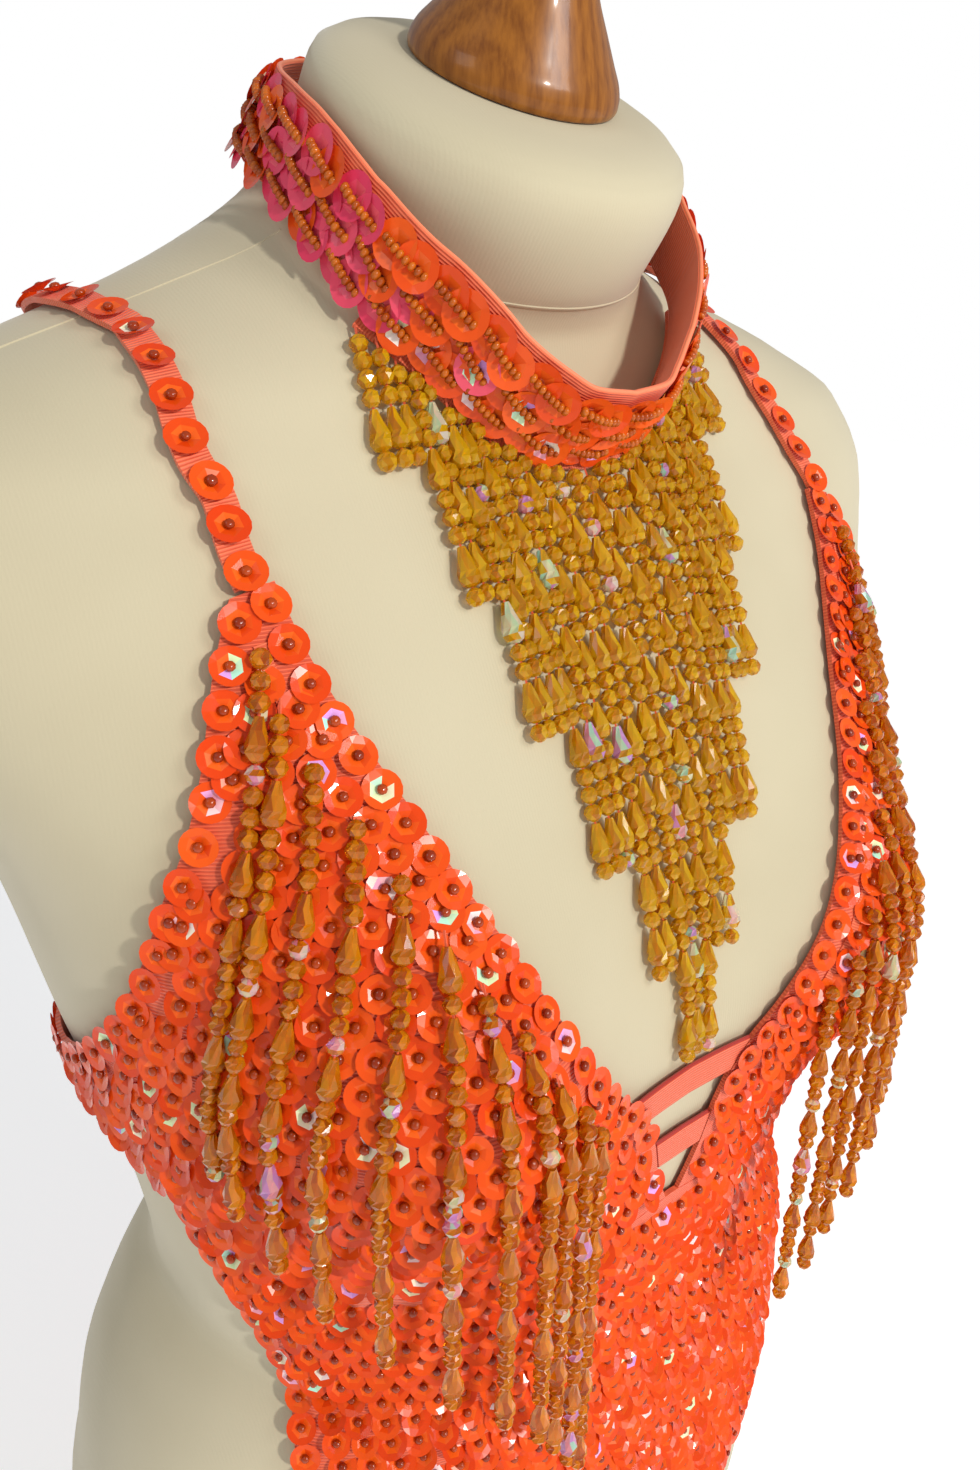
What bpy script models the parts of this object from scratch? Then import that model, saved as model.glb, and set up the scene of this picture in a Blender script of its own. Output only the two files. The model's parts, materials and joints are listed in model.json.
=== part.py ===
"""A fringed showgirl leotard with its own collar, worn by a limbless dress form.

Metres, +Z up. The front faces -Y and the wearer's left is +X. The origin is on the
table under the middle of the form. Tables are in millimetres and degrees.

Every piece that lies on the form is worked out on one surface: "turn" is the angle
round the form, 0 at the front and +90 at the wearer's left, and "level" climbs the
form from its underside to the top of its neck. A piece of cloth is a wall between
two lifts off that surface.
"""
import math

import bpy
import numpy as np

MM = 0.001
COLLECTION = "showgirl_leotard_on_dress_form"
CUTTERS = "cutters"

# The middle of the whole thing, front to back, in the tables' y.
MIDDLE_Y = 7.5

SEAM_GAP = 0.4
CLOTH_LIFT = 1.4
CLOTH_WALL = 1.6
STACK_GAP = 0.4

# The form, a row for each level: its ring's centre, lean and reach, in mm and degrees.
FORM_COLUMNS = ("level", "centre_y", "height", "lean", "half_width", "front", "back", "square")
FORM_SECTIONS = (
    (0, 8, 0, 0, 152, 92, 108, 2.40),
    (60, 8, 60, 0, 168, 102, 126, 2.35),
    (120, 8, 120, 0, 175, 108, 136, 2.30),
    (200, 7, 200, 0, 175, 112, 138, 2.25),
    (250, 6, 250, 0, 168, 111, 124, 2.20),
    (280, 6, 280, 0, 163, 110, 113, 2.20),
    (310, 5, 310, 0, 154, 109, 99, 2.20),
    (332, 5, 332, 0, 142, 108, 92, 2.20),
    (352, 4, 352, 0, 129, 107, 86, 2.20),
    (410, 3, 410, 0, 135, 113, 93, 2.25),
    (470, 4, 470, 0, 147, 116, 103, 2.30),
    (530, 7, 530, 0, 158, 106, 110, 2.35),
    (590, 10, 588, 2, 179, 88, 106, 2.40),
    (625, 12, 619, 4, 188, 74, 90, 2.40),
    (650, 14, 640, 6, 180, 64, 72, 2.30),
    (673, 15, 658, 9, 146, 58, 58, 2.15),
    (695, 15, 677, 15, 94, 56, 52, 2.00),
    (712, 10, 690, 22, 64, 56, 54, 2.00),
    (730, 1, 700, 26, 54, 56, 56, 2.00),
    (755, -12.5, 717, 26, 53, 55, 55, 2.00),
    (765, -15, 722.5, 26, 51, 53, 53, 2.00),
    (773, -16.5, 726, 26, 44, 46, 46, 2.00),
    (795, -17.5, 728, 26, 30, 32, 32, 2.00),
)
NECK_TOP_LEVEL = 795
BUST_SIDE = 88
BUST_HEIGHT = 475
BUST_SWELL = 28
BUST_HALF_WIDTH = 44
BUST_RISE = 70
BUST_DROP = 42
BUST_FALL_OFF = 2.2

# The arched channel under the form, which the crotch passes through.
CHANNEL_MIDDLE_Y = 8
CHANNEL_HEIGHT = 35
CHANNEL_FLARE = 70
CHANNEL_FRONT_REACH = 106
CHANNEL_BACK_REACH = 134
CHANNEL_HALF_WIDTH = 54
CHANNEL_WIDENING = 12
CHANNEL_SQUARE = 4

FORM_COLUMN_COUNT = 40
FORM_LEVELS = (0, 30, 60, 90, 120, 160, 200, 230, 255, 275, 295, 312, 328, 344, 360, 376, 392,
               407, 418, 428, 438, 448, 459, 472, 487, 505, 530, 555, 580, 603, 625, 643, 657,
               670, 682, 694, 706, 719, 734, 755, 765, 773, 795)

# The cups' edges, and where each meets the front body under the bust.
NECKLINE = ((408, 1.5), (423, 4.5), (438, 6.5), (451, 9.0), (460, 11.8), (468, 15.5),
            (478, 19.5), (490, 23.8), (507, 28.7), (525, 33.3), (541, 37.2), (561, 41.7),
            (582, 46.7), (604, 51.7), (626, 55.9))
ARMHOLE = ((443, 90.0), (466, 90.0), (474, 85.5), (483, 80.7), (496, 75.2), (511, 70.5),
           (527, 66.8), (545, 63.7), (565, 60.7), (585, 59.4), (605, 59.1), (622, 58.8))
UNDERBUST = ((0, 408), (20, 403), (40, 404), (58, 414), (73, 433), (81, 441), (90, 443))
SIDE_SEAM_TURN = 90
LEG_CORNER_TURN = 73
CUP_TOP_INNER_LEVEL = 624.5
CUP_TOP_OUTER_LEVEL = 621
CUP_SIDE_ROWS = 3
CUP_EDGE_ROWS = 14
CUP_SEAM_COLUMNS = 12
CUP_FREE_COLUMNS = 3

# The panels' free edges: level and turn on the wearer's left side.
FRONT_LEG_EDGE = ((104, 17.5), (115, 19.5), (135, 24.5), (160, 31), (190, 38.5), (220, 45),
                  (250, 50.5), (280, 54.5), (312, 57.0), (338, 59.8), (356, 62.5), (380, 65.9),
                  (400, 68.8), (421, 71.8), (434, 73.0))

# The back from its top edge down: its side edge, and the middle of the same row.
BACK_COLUMNS = ("edge_turn", "edge_level", "middle_level")
BACK_SECTIONS = (
    (90.0, 466, 438),
    (90.0, 443, 431),
    (102.0, 436, 424),
    (114.0, 427, 417),
    (126.0, 417, 410),
    (136.0, 409, 404),
    (144.0, 400, 396),
    (150.0, 386, 383),
    (154.0, 364, 363),
    (157.0, 335, 335),
    (157.3, 302, 302),
    (156.2, 270, 270),
    (153.6, 236, 236),
    (151.8, 202, 202),
    (151.5, 164, 164),
    (155.0, 130, 130),
    (160.0, 113, 113),
    (164.0, 104, 104),
)
BACK_FINE_SECTIONS = 8
BACK_HALF_COLUMNS = 11
BACK_EDGE_RISE = 3
FRONT_ROWS = 17
CROTCH_REACH = 0.1
GUSSET_HALF_WIDTH = 30
GUSSET_WIDENING = 5
GUSSET_ROWS = 14
GUSSET_COLUMNS = 6

# The two bars across the plunge, from level to level.
BARS = (("bar_upper", 451.5, 461.5), ("bar_lower", 425.5, 436.5))
BAR_COLUMNS = 6

# The straps' middle lines, from the cup over the shoulder to the back: turn and level.
STRAP_WIDTH = 8
STRAP_SEGMENTS = 46
STRAP_TURN_SHARES = (1, 0.5, 0.15)
STRAP_RIGHT = ((57.3, 623.8), (59.3, 634), (61.6, 647), (64, 656), (66.3, 665), (69.2, 675),
               (72.5, 681), (76.5, 685), (81, 687.5), (88, 688), (98, 685), (108, 677),
               (118, 665), (127, 648), (136, 623), (143, 590), (148, 550), (151, 500),
               (152.3, 470), (152.7, 440.7))
STRAP_LEFT = ((57.3, 623.8), (57.9, 634), (59.0, 647), (59.6, 657), (61, 668), (62.6, 677),
              (64.8, 686), (68, 693), (73, 697.5), (80, 699.5), (90, 698.5), (101, 694),
              (112, 686), (122, 673), (132, 652), (140, 624), (146, 590), (149.2, 550),
              (151.5, 500), (152.5, 470), (152.7, 440.7))

# The collar by turn: the level that its lower edge stands over, how far off the form that
# edge is, and how far the band leans forward and in over the neck.
COLLAR_ROWS = ((0, 651, 4.5, 47, 0), (12, 653, 4.5, 47, 3), (20, 659, 4.2, 46, 7),
               (28, 668, 4, 45, 11), (36, 681, 4, 44, 14), (45, 694, 4, 42, 16),
               (52, 702, 4, 41, 17), (60, 709, 4, 40, 16), (70, 716, 4, 39, 13),
               (80, 720.5, 4, 38, 11), (90, 722.5, 4, 37, 10), (100, 722, 4, 36, 11),
               (115, 719.5, 4.5, 35, 13), (135, 717, 5, 34, 12), (180, 715, 6, 33, 0))
COLLAR_HEIGHT = 25
COLLAR_WALL = 1.6
COLLAR_OPENING = 4
COLLAR_COLUMNS = 44
HOOK_WIDTH = 9
HOOK_LENGTH = 18
HOOK_WALL = 1.2

# The bead fringes. A strand's end height falls in steps towards the middle of the collar.
STRAND_WIDTH = 2.8
STRAND_SEGMENT = 15
STRAND_RIDGE = 1.6
STRIP_HEIGHT = 3.2
STRIP_WALL = 2.4
STRIP_OVERHANG = 2.6
COLLAR_FRINGE_LIFT = 1.5
CUP_FRINGE_GAP = 1.2
COLLAR_STRANDS_PER_SIDE = 14
COLLAR_STRAND_SPACING = 5.2
COLLAR_FRINGE_DROP = 4.5
COLLAR_FRINGE_STEPS = ((1, 467), (3, 499), (6, 533), (9, 571), (11, 604), (14, 636))
CUP_STRAND_LENGTH = 140

# Each cup's strands from the top: the turn and level of the root, and how far it drifts
# outwards for every millimetre that it falls.
CUP_STRANDS = ((56.0, 609, 0.18), (54.2, 597, 0.17), (51.3, 580.5, 0.15), (48.0, 566.5, 0.13),
               (44.6, 552, 0.10), (41.6, 538.5, 0.05), (38.8, 525.5, 0.02), (35.7, 513, 0),
               (32.4, 500.5, 0), (28.9, 488.5, 0), (25.0, 476.5, 0))

# The turned neck cap, from its top down its outer side: radius and height.
CAP_PROFILE = ((0, 71), (6, 70), (11.5, 66.5), (14.5, 61), (14.2, 55), (11, 49.5), (9, 44.5),
               (9.8, 38.5), (12, 31), (16, 23), (20.8, 16), (25, 10), (27.8, 6), (28.9, 3.2),
               (29.1, 1.5), (28.4, 0), (0, 0))
CAP_STEPS = 32
CAP_FORWARD = 1
CAP_GAP = 0.3

COLOURS = {
    "jersey": ((0.72, 0.67, 0.52, 1), 0.9, 0.0),
    "wood": ((0.36, 0.15, 0.035, 1), 0.35, 0.0),
    "coral_cloth": ((0.95, 0.18, 0.07, 1), 0.6, 0.0),
    "coral_ribbon": ((0.95, 0.22, 0.10, 1), 0.55, 0.0),
    "amber_beads": ((0.80, 0.38, 0.03, 1), 0.15, 0.0),
    "hook_metal": ((0.75, 0.62, 0.38, 1), 0.3, 1.0),
}


def clear_scene():
    """Remove the objects that a new scene starts with."""
    for old in list(bpy.data.objects):
        bpy.data.objects.remove(old, do_unlink=True)


def new_collection(name):
    """Make a collection in the scene."""
    group = bpy.data.collections.new(name)
    bpy.context.scene.collection.children.link(group)
    return group


def material(name):
    """Return the plain material of one finish."""
    found = bpy.data.materials.get(name)
    if found:
        return found
    colour, roughness, metallic = COLOURS[name]
    made = bpy.data.materials.new(name)
    made.use_nodes = True
    shader = made.node_tree.nodes["Principled BSDF"]
    shader.inputs["Base Color"].default_value = colour
    shader.inputs["Roughness"].default_value = roughness
    shader.inputs["Metallic"].default_value = metallic
    return made


def smooth(stations, rows):
    """Return a function that passes through a table's rows and never overshoots them."""
    x = np.asarray(stations, float)
    y = np.asarray(rows, float).reshape(len(x), -1)
    step = np.diff(x)[:, None]
    slope = np.diff(y, axis=0) / step
    tangent = np.zeros_like(y)
    before, after = slope[:-1], slope[1:]
    same_way = before * after > 0
    near = 2 * step[1:] + step[:-1]
    far = step[1:] + 2 * step[:-1]
    safe_before = np.where(same_way, before, 1)
    safe_after = np.where(same_way, after, 1)
    tangent[1:-1] = np.where(same_way, (near + far) / (near / safe_before + far / safe_after), 0)
    tangent[0], tangent[-1] = slope[0], slope[-1]

    def value(at):
        at = np.clip(np.asarray(at, float), x[0], x[-1])
        i = np.clip(np.searchsorted(x, at, side="right") - 1, 0, len(x) - 2)
        span = (x[i + 1] - x[i])[..., None]
        u = (at - x[i])[..., None] / span
        return (y[i] * (1 + 2 * u) * (1 - u) ** 2 + tangent[i] * span * u * (1 - u) ** 2
                + y[i + 1] * u ** 2 * (3 - 2 * u) + tangent[i + 1] * span * u ** 2 * (u - 1))

    return value


def curve_of(table):
    """Return a smooth function from a table of pairs."""
    at = smooth([row[0] for row in table], [row[1] for row in table])
    return lambda position: at(position)[..., 0]


form_section = smooth([row[0] for row in FORM_SECTIONS], [row[1:] for row in FORM_SECTIONS])
neckline_turn = curve_of(NECKLINE)
armhole_turn = curve_of(ARMHOLE)
underbust_level = curve_of(UNDERBUST)
front_leg_turn = curve_of(FRONT_LEG_EDGE)
back_section = smooth(range(len(BACK_SECTIONS)), BACK_SECTIONS)


def form_point(turn, level):
    """Return points of the form's surface, in mm."""
    turn, level = np.broadcast_arrays(np.asarray(turn, float), np.asarray(level, float))
    centre_y, height, lean, half_width, front, back, square = np.moveaxis(
        form_section(level), -1, 0)
    side, ahead = np.sin(np.radians(turn)), np.cos(np.radians(turn))
    depth = np.where(ahead > 0, front, back)
    reach = (np.abs(side / half_width) ** square + np.abs(ahead / depth) ** square) ** (-1 / square)
    lean = np.radians(lean)
    x = reach * side
    y = centre_y - reach * ahead * np.cos(lean)
    z = height - reach * ahead * np.sin(lean)
    rise = z - BUST_HEIGHT
    spread = np.where(rise > 0, BUST_RISE, BUST_DROP)
    swell = BUST_SWELL * np.exp(-((np.abs(x) - BUST_SIDE) / BUST_HALF_WIDTH) ** 2
                                - np.abs(rise / spread) ** BUST_FALL_OFF)
    return np.stack([x, y - swell * np.clip(3 * ahead, 0, 1), z], axis=-1)


def unit(vectors):
    """Return vectors at length one."""
    return vectors / np.linalg.norm(vectors, axis=-1, keepdims=True)


def form_normal(turn, level):
    """Return the form's outward directions."""
    around = form_point(np.asarray(turn) + 0.2, level) - form_point(np.asarray(turn) - 0.2, level)
    up = form_point(turn, np.asarray(level) + 0.4) - form_point(turn, np.asarray(level) - 0.4)
    return unit(np.cross(around, up))


def lifted(turn, level, lift):
    """Return points at a lift off the form, in mm."""
    return form_point(turn, level) + form_normal(turn, level) * np.asarray(lift)[..., None]


def channel_height(x, y):
    """Return the height of the channel's ceiling, in mm."""
    reach = np.where(y < CHANNEL_MIDDLE_Y, CHANNEL_FRONT_REACH, CHANNEL_BACK_REACH)
    out = ((y - CHANNEL_MIDDLE_Y) / reach) ** 2
    half_width = CHANNEL_HALF_WIDTH + CHANNEL_WIDENING * out
    arch = np.clip(1 - np.abs(x / half_width) ** CHANNEL_SQUARE, 0, 1) ** (1 / CHANNEL_SQUARE)
    return (CHANNEL_HEIGHT + CHANNEL_FLARE * out) * arch


def crotch_edge(x, ahead):
    """Return the turn and level where the channel's ceiling comes out of the form."""
    level = np.full(np.shape(x), 105.0)
    turn = np.zeros(np.shape(x))
    for _ in range(12):
        section = form_section(level)
        half_width, depth = section[..., 3], section[..., 4 if ahead else 5]
        square = section[..., 6]
        share = (1 - np.abs(x / half_width) ** square) ** (1 / square)
        y = section[..., 0] + (-1 if ahead else 1) * depth * share
        level = channel_height(x, y)
        turn = np.degrees(np.arctan2(x, section[..., 0] - y))
    return turn, level, y


def add_mesh(name, points, faces, finish, group):
    """Add one object from faces and points in the tables' millimetres."""
    mesh = bpy.data.meshes.new(name)
    points = (np.asarray(points) - (0, MIDDLE_Y, 0)) * MM
    mesh.from_pydata(points.tolist(), [], faces)
    mesh.validate()
    mesh.shade_smooth()
    mesh.set_sharp_from_angle(angle=math.radians(40))
    thing = bpy.data.objects.new(name, mesh)
    thing.data.materials.append(material(finish))
    group.objects.link(thing)
    return thing


def wall_faces(rows, columns, ring=False):
    """Return a closed wall's faces: inner grid first, then outer, then the four rims."""
    size = rows * columns
    last = columns if ring else columns - 1
    faces = []
    for r in range(rows - 1):
        for c in range(last):
            a, b = r * columns + c, r * columns + (c + 1) % columns
            d, e = a + columns, b + columns
            faces.append((a, d, e, b))
            faces.append((size + a, size + b, size + e, size + d))
    for c in range(last):
        a, b = c, (c + 1) % columns
        faces.append((a, b, size + b, size + a))
        a, b = a + (rows - 1) * columns, b + (rows - 1) * columns
        faces.append((b, a, size + a, size + b))
    if not ring:
        for r in range(rows - 1):
            a, d = r * columns, (r + 1) * columns
            faces.append((d, a, size + a, size + d))
            a, d = a + columns - 1, d + columns - 1
            faces.append((a, d, size + d, size + a))
    return faces


def add_wall(name, inner, outer, finish, group, ring=False):
    """Add a closed wall of cloth between two grids of points, in rows and columns.

    Rows climb and columns run towards the wearer's left, seen from the front."""
    rows, columns = inner.shape[:2]
    points = np.concatenate([inner.reshape(-1, 3), outer.reshape(-1, 3)])
    return add_mesh(name, points, wall_faces(rows, columns, ring), finish, group)


def add_panel(name, turns, levels, group, lift=CLOTH_LIFT, wall=CLOTH_WALL, finish="coral_cloth"):
    """Add a panel of cloth that lies on the form, from its grid of turns and levels."""
    return add_wall(name, lifted(turns, levels, lift), lifted(turns, levels, lift + wall),
                    finish, group)


def make_form(group, cutters):
    """The padded form: one smooth torso, flat below, with the crotch channel cut through."""
    turns = np.arange(FORM_COLUMN_COUNT) * 360 / FORM_COLUMN_COUNT
    levels = np.array(FORM_LEVELS, float)
    points = form_point(turns[None, :], levels[:, None]).reshape(-1, 3)
    count, faces = FORM_COLUMN_COUNT, []
    for r in range(len(levels) - 1):
        for c in range(count):
            a, b = r * count + c, r * count + (c + 1) % count
            faces.append((a, b, b + count, a + count))
    faces.append(tuple(reversed(range(count))))
    faces.append(tuple((len(levels) - 1) * count + c for c in range(count)))
    form = add_mesh("form_body", points, faces, "jersey", group)

    stations = np.linspace(-190, 210, 21)
    across = np.sin(np.linspace(-90, 90, 15) * math.pi / 180)
    sections = []
    for y in stations:
        inside = np.clip(y, CHANNEL_MIDDLE_Y - CHANNEL_FRONT_REACH - 12,
                         CHANNEL_MIDDLE_Y + CHANNEL_BACK_REACH + 12)
        reach = CHANNEL_FRONT_REACH if y < CHANNEL_MIDDLE_Y else CHANNEL_BACK_REACH
        widening = CHANNEL_WIDENING * ((inside - CHANNEL_MIDDLE_Y) / reach) ** 2
        x = across * (CHANNEL_HALF_WIDTH + widening)
        z = channel_height(x, inside)
        arch = np.stack([x, np.full_like(x, y), z], axis=-1)
        foot = np.array([[x[-1], y, -12], [x[0], y, -12]])
        sections.append(np.concatenate([arch, foot]))
    around = len(sections[0])
    faces = []
    for r in range(len(sections) - 1):
        for c in range(around):
            a, b = r * around + c, r * around + (c + 1) % around
            faces.append((a, b, b + around, a + around))
    faces.append(tuple(reversed(range(around))))
    faces.append(tuple((len(sections) - 1) * around + c for c in range(around)))
    channel = add_mesh("channel_cutter", np.concatenate(sections), faces, "jersey", cutters)
    channel.hide_render = True
    channel.display_type = "WIRE"
    cut = form.modifiers.new("crotch channel", "BOOLEAN")
    cut.operation = "DIFFERENCE"
    cut.solver = "EXACT"
    cut.object = channel


def make_neck_cap(group):
    """The turned wooden cap, standing on the leaning top of the neck."""
    mesh = bpy.data.meshes.new("neck_cap")
    points = [(radius * MM, 0, height * MM) for radius, height in CAP_PROFILE]
    mesh.from_pydata(points, [(i, i + 1) for i in range(len(points) - 1)], [])
    cap = bpy.data.objects.new("neck_cap", mesh)
    cap.data.materials.append(material("wood"))
    group.objects.link(cap)
    turned = cap.modifiers.new("turned", "SCREW")
    turned.steps = turned.render_steps = CAP_STEPS
    turned.use_merge_vertices = True
    turned.merge_threshold = 0.00001
    turned.use_smooth_shade = True
    section = form_section(np.array(NECK_TOP_LEVEL, float))
    lean = math.radians(section[2])
    cap.rotation_euler = (lean, 0, 0)
    along, off = -math.cos(lean), -math.sin(lean)
    cap.location = (0, (section[0] - MIDDLE_Y + CAP_FORWARD * along + CAP_GAP * off) * MM,
                    (section[1] + CAP_FORWARD * off - CAP_GAP * along) * MM)


def cup_seam_turns():
    """Return the turns of the cup's lower edge, first along the seam and then free."""
    first = float(neckline_turn(NECKLINE[0][0]))
    seam = np.linspace(first, LEG_CORNER_TURN, CUP_SEAM_COLUMNS + 1)
    free = np.linspace(LEG_CORNER_TURN, SIDE_SEAM_TURN, CUP_FREE_COLUMNS + 1)[1:]
    return np.concatenate([seam, free])


def cup_grid():
    """Return the turns and levels of the wearer's left cup, from its lower edge up."""
    side_share = (ARMHOLE[1][0] - ARMHOLE[0][0]) / (CUP_TOP_OUTER_LEVEL - ARMHOLE[0][0])
    climb = np.concatenate([np.linspace(0, side_share, CUP_SIDE_ROWS + 1),
                            np.linspace(side_share, 1, CUP_EDGE_ROWS + 1)[1:]])[:, None]
    inner = NECKLINE[0][0] + (CUP_TOP_INNER_LEVEL - NECKLINE[0][0]) * climb
    outer = ARMHOLE[0][0] + (CUP_TOP_OUTER_LEVEL - ARMHOLE[0][0]) * climb
    seam = cup_seam_turns()
    across = ((seam - seam[0]) / (seam[-1] - seam[0]))[None, :]
    first, last = neckline_turn(inner), armhole_turn(outer)
    turns = first + (last - first) * across
    straight = inner[0] + (outer[0] - inner[0]) * across
    sag = (underbust_level(seam)[None, :] - straight) * (1 - climb) ** 3
    levels = inner + (outer - inner) * across + sag
    levels[0] += SEAM_GAP / 2
    turns[:, -1] -= np.degrees(SEAM_GAP / 2 / 150)
    return turns, levels


def make_cups(group):
    """The two cups, each cut with its side wing and turned under at the edges."""
    turns, levels = cup_grid()
    add_panel("cup_left", turns, levels, group)
    add_panel("cup_right", -turns[:, ::-1], levels[:, ::-1], group)


def make_front_body(group):
    """The front body, from the seam under the bust down to the crotch seam."""
    seam = cup_seam_turns()[:CUP_SEAM_COLUMNS + 1]
    half = seam / LEG_CORNER_TURN
    across = np.concatenate([-half[::-1], half])[None, :]
    drop = np.linspace(0, 1, FRONT_ROWS + 1)[:, None]
    edge_levels = FRONT_LEG_EDGE[-1][0] + (FRONT_LEG_EDGE[0][0] - FRONT_LEG_EDGE[-1][0]) * drop
    turns = across * front_leg_turn(edge_levels)
    foot_turn, foot_level, _ = crotch_edge(
        form_point(across[0] * front_leg_turn(FRONT_LEG_EDGE[0][0]), 104.0)[:, 0], True)
    top_level = underbust_level(np.abs(across[0]) * LEG_CORNER_TURN) - SEAM_GAP / 2
    foot = foot_level - CROTCH_REACH
    levels = edge_levels + (top_level - edge_levels[0]) * (1 - drop) ** 2
    levels = levels + (foot - edge_levels[-1]) * drop ** 3
    turns[-1] = foot_turn
    add_panel("front_body", turns[::-1], levels[::-1], group)


def make_back_body(group):
    """The back, one piece: a band from side seam to side seam and a cut-in seat."""
    last = len(BACK_SECTIONS) - 1
    stations = np.concatenate([np.arange(0, BACK_FINE_SECTIONS, 0.5),
                               np.arange(BACK_FINE_SECTIONS, last + 1)])
    edge_turn, edge_level, middle_level = back_section(stations).T[:, :, None]
    edge_turn = edge_turn + np.where(stations[:, None] <= 1, np.degrees(SEAM_GAP / 2 / 150), 0)
    half = np.linspace(0, 1, BACK_HALF_COLUMNS + 1)
    across = np.concatenate([-half[::-1], half[1:]])[None, :]
    turns = 180 + across * (180 - edge_turn)
    levels = middle_level + (edge_level - middle_level) * np.abs(across) ** BACK_EDGE_RISE
    foot_turn, foot_level, _ = crotch_edge(form_point(turns[-1], BACK_SECTIONS[-1][1])[:, 0], False)
    drop = (stations / last)[:, None]
    levels = levels + (foot_level - CROTCH_REACH - levels[-1]) * drop ** 6
    turns[-1] = np.where(foot_turn < 0, foot_turn + 360, foot_turn)
    add_panel("back_body", turns[::-1], levels[::-1], group)


def channel_lifted(x, y, lift):
    """Return points under the channel's ceiling, at a lift off it, in mm."""
    def ceiling(px, py):
        return np.stack([px, py, channel_height(px, py)], axis=-1)
    along = ceiling(x, y + 0.3) - ceiling(x, y - 0.3)
    across = ceiling(x + 0.3, y) - ceiling(x - 0.3, y)
    return ceiling(x, y) + unit(np.cross(along, across)) * lift


def make_gusset(group):
    """The crotch gusset, which runs under the form through its channel."""
    share = np.linspace(0, 1, GUSSET_ROWS + 1)[:, None]
    across = np.linspace(-1, 1, GUSSET_COLUMNS + 1)[None, :]
    half_width = GUSSET_HALF_WIDTH + GUSSET_WIDENING * (2 * share - 1) ** 2
    x = half_width * across
    _, _, front_y = crotch_edge(x[0], True)
    _, _, back_y = crotch_edge(x[-1], False)
    y = (front_y - CROTCH_REACH) * (1 - share) + (back_y + CROTCH_REACH) * share
    inner = channel_lifted(x, y, CLOTH_LIFT)
    outer = channel_lifted(x, y, CLOTH_LIFT + CLOTH_WALL)
    add_wall("gusset", inner[::-1], outer[::-1], "coral_cloth", group)


def make_bars(group):
    """The two narrow bars that hold the cups together across the plunge."""
    for name, low, high in BARS:
        levels = np.linspace(low, high, 3)[:, None]
        inset = np.degrees(1.3 * SEAM_GAP / 110)
        across = np.linspace(-1, 1, BAR_COLUMNS + 1)[None, :]
        turns = across * (neckline_turn(levels) - inset)
        add_panel(name, turns, levels + 0 * across, group)


def make_strap(name, route, side, group):
    """One shoulder strap: a ribbon laid over the shoulder from cup to back."""
    at = smooth(range(len(route)), route)
    fine = at(np.linspace(0, len(route) - 1, 400))
    points = lifted(side * fine[:, 0], fine[:, 1], 0)
    run = np.concatenate([[0], np.cumsum(np.linalg.norm(np.diff(points, axis=0), axis=1))])
    where = np.linspace(0, run[-1], STRAP_SEGMENTS + 1)
    turns = side * np.interp(where, run, fine[:, 0])
    levels = np.interp(where, run, fine[:, 1])
    middle = form_point(turns, levels)
    normal = form_normal(turns, levels)
    along = unit(np.gradient(middle, axis=0))
    across = unit(np.cross(along, normal))
    seam = form_point(side * float(armhole_turn(CUP_TOP_OUTER_LEVEL)), CUP_TOP_OUTER_LEVEL)
    seam = side * unit(seam - form_point(side * float(neckline_turn(CUP_TOP_INNER_LEVEL)),
                                         CUP_TOP_INNER_LEVEL))
    for row, share in enumerate(STRAP_TURN_SHARES):
        across[row] = unit(across[row] * (1 - share) + seam * share)
    edges = np.stack([middle - across * STRAP_WIDTH / 2, middle + across * STRAP_WIDTH / 2], axis=1)
    out = normal[:, None, :]
    inner = edges + out * CLOTH_LIFT
    outer = edges + out * (CLOTH_LIFT + CLOTH_WALL)
    add_wall(name, inner, outer, "coral_ribbon", group)


def collar_edges(turns):
    """Return the collar's lower and upper edges at its inner face, in mm."""
    rows = smooth([row[0] for row in COLLAR_ROWS], [row[1:] for row in COLLAR_ROWS])(np.abs(turns))
    low = lifted(turns, rows[..., 0], rows[..., 1])
    lean, tuck = np.radians(rows[..., 2]), np.radians(rows[..., 3])
    climb = np.stack([-np.sign(low[..., 0]) * np.sin(tuck), -np.sin(lean) * np.cos(tuck),
                      np.cos(lean) * np.cos(tuck)], axis=-1)
    return low, low + COLLAR_HEIGHT * climb


def make_collar(group):
    """The stiff collar band, open at the nape, and the flat hook that closes it."""
    opening = np.degrees(COLLAR_OPENING / 2 / 55)
    turns = np.linspace(-180 + opening, 180 - opening, COLLAR_COLUMNS + 1)
    low, high = collar_edges(turns)
    inner = np.stack([low, high])
    around = np.gradient(low, axis=0)
    out = unit(np.cross(around, high - low))
    outer = inner + out * COLLAR_WALL
    add_wall("collar_band", inner, outer, "coral_ribbon", group)

    half = np.degrees(HOOK_LENGTH / 2 / 58)
    turns = 180 + np.linspace(-half, half, 7)
    turns = np.where(turns > 180, turns - 360, turns)
    low, high = collar_edges(turns)
    middle = (low + high) / 2
    up = unit(high - low)
    out = unit(np.cross(np.gradient(low, axis=0), up))
    off = COLLAR_WALL + STACK_GAP
    edges = np.stack([middle - up * HOOK_WIDTH / 2, middle + up * HOOK_WIDTH / 2])
    add_wall("collar_hook", edges + out * off, edges + out * (off + HOOK_WALL), "hook_metal", group)


def surface_step(turn, level, lift, step, drift):
    """Slide down a lifted surface by one step, on its steepest line but for the drift."""
    here = lifted(turn, level, lift)
    by_turn = lifted(turn + 0.1, level, lift) - here
    by_level = lifted(turn, level + 0.1, lift) - here
    normal = form_normal(turn, level)
    fall = np.array([0.0, 0.0, -1.0])
    fall = unit(fall - normal * fall.dot(normal))
    fall = unit(fall + np.cross(fall, normal) * drift * -np.sign(turn)) * step
    moves, *_ = np.linalg.lstsq(np.stack([by_turn, by_level], axis=1), fall, rcond=None)
    return turn + moves[0] * 0.1, level + moves[1] * 0.1


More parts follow.
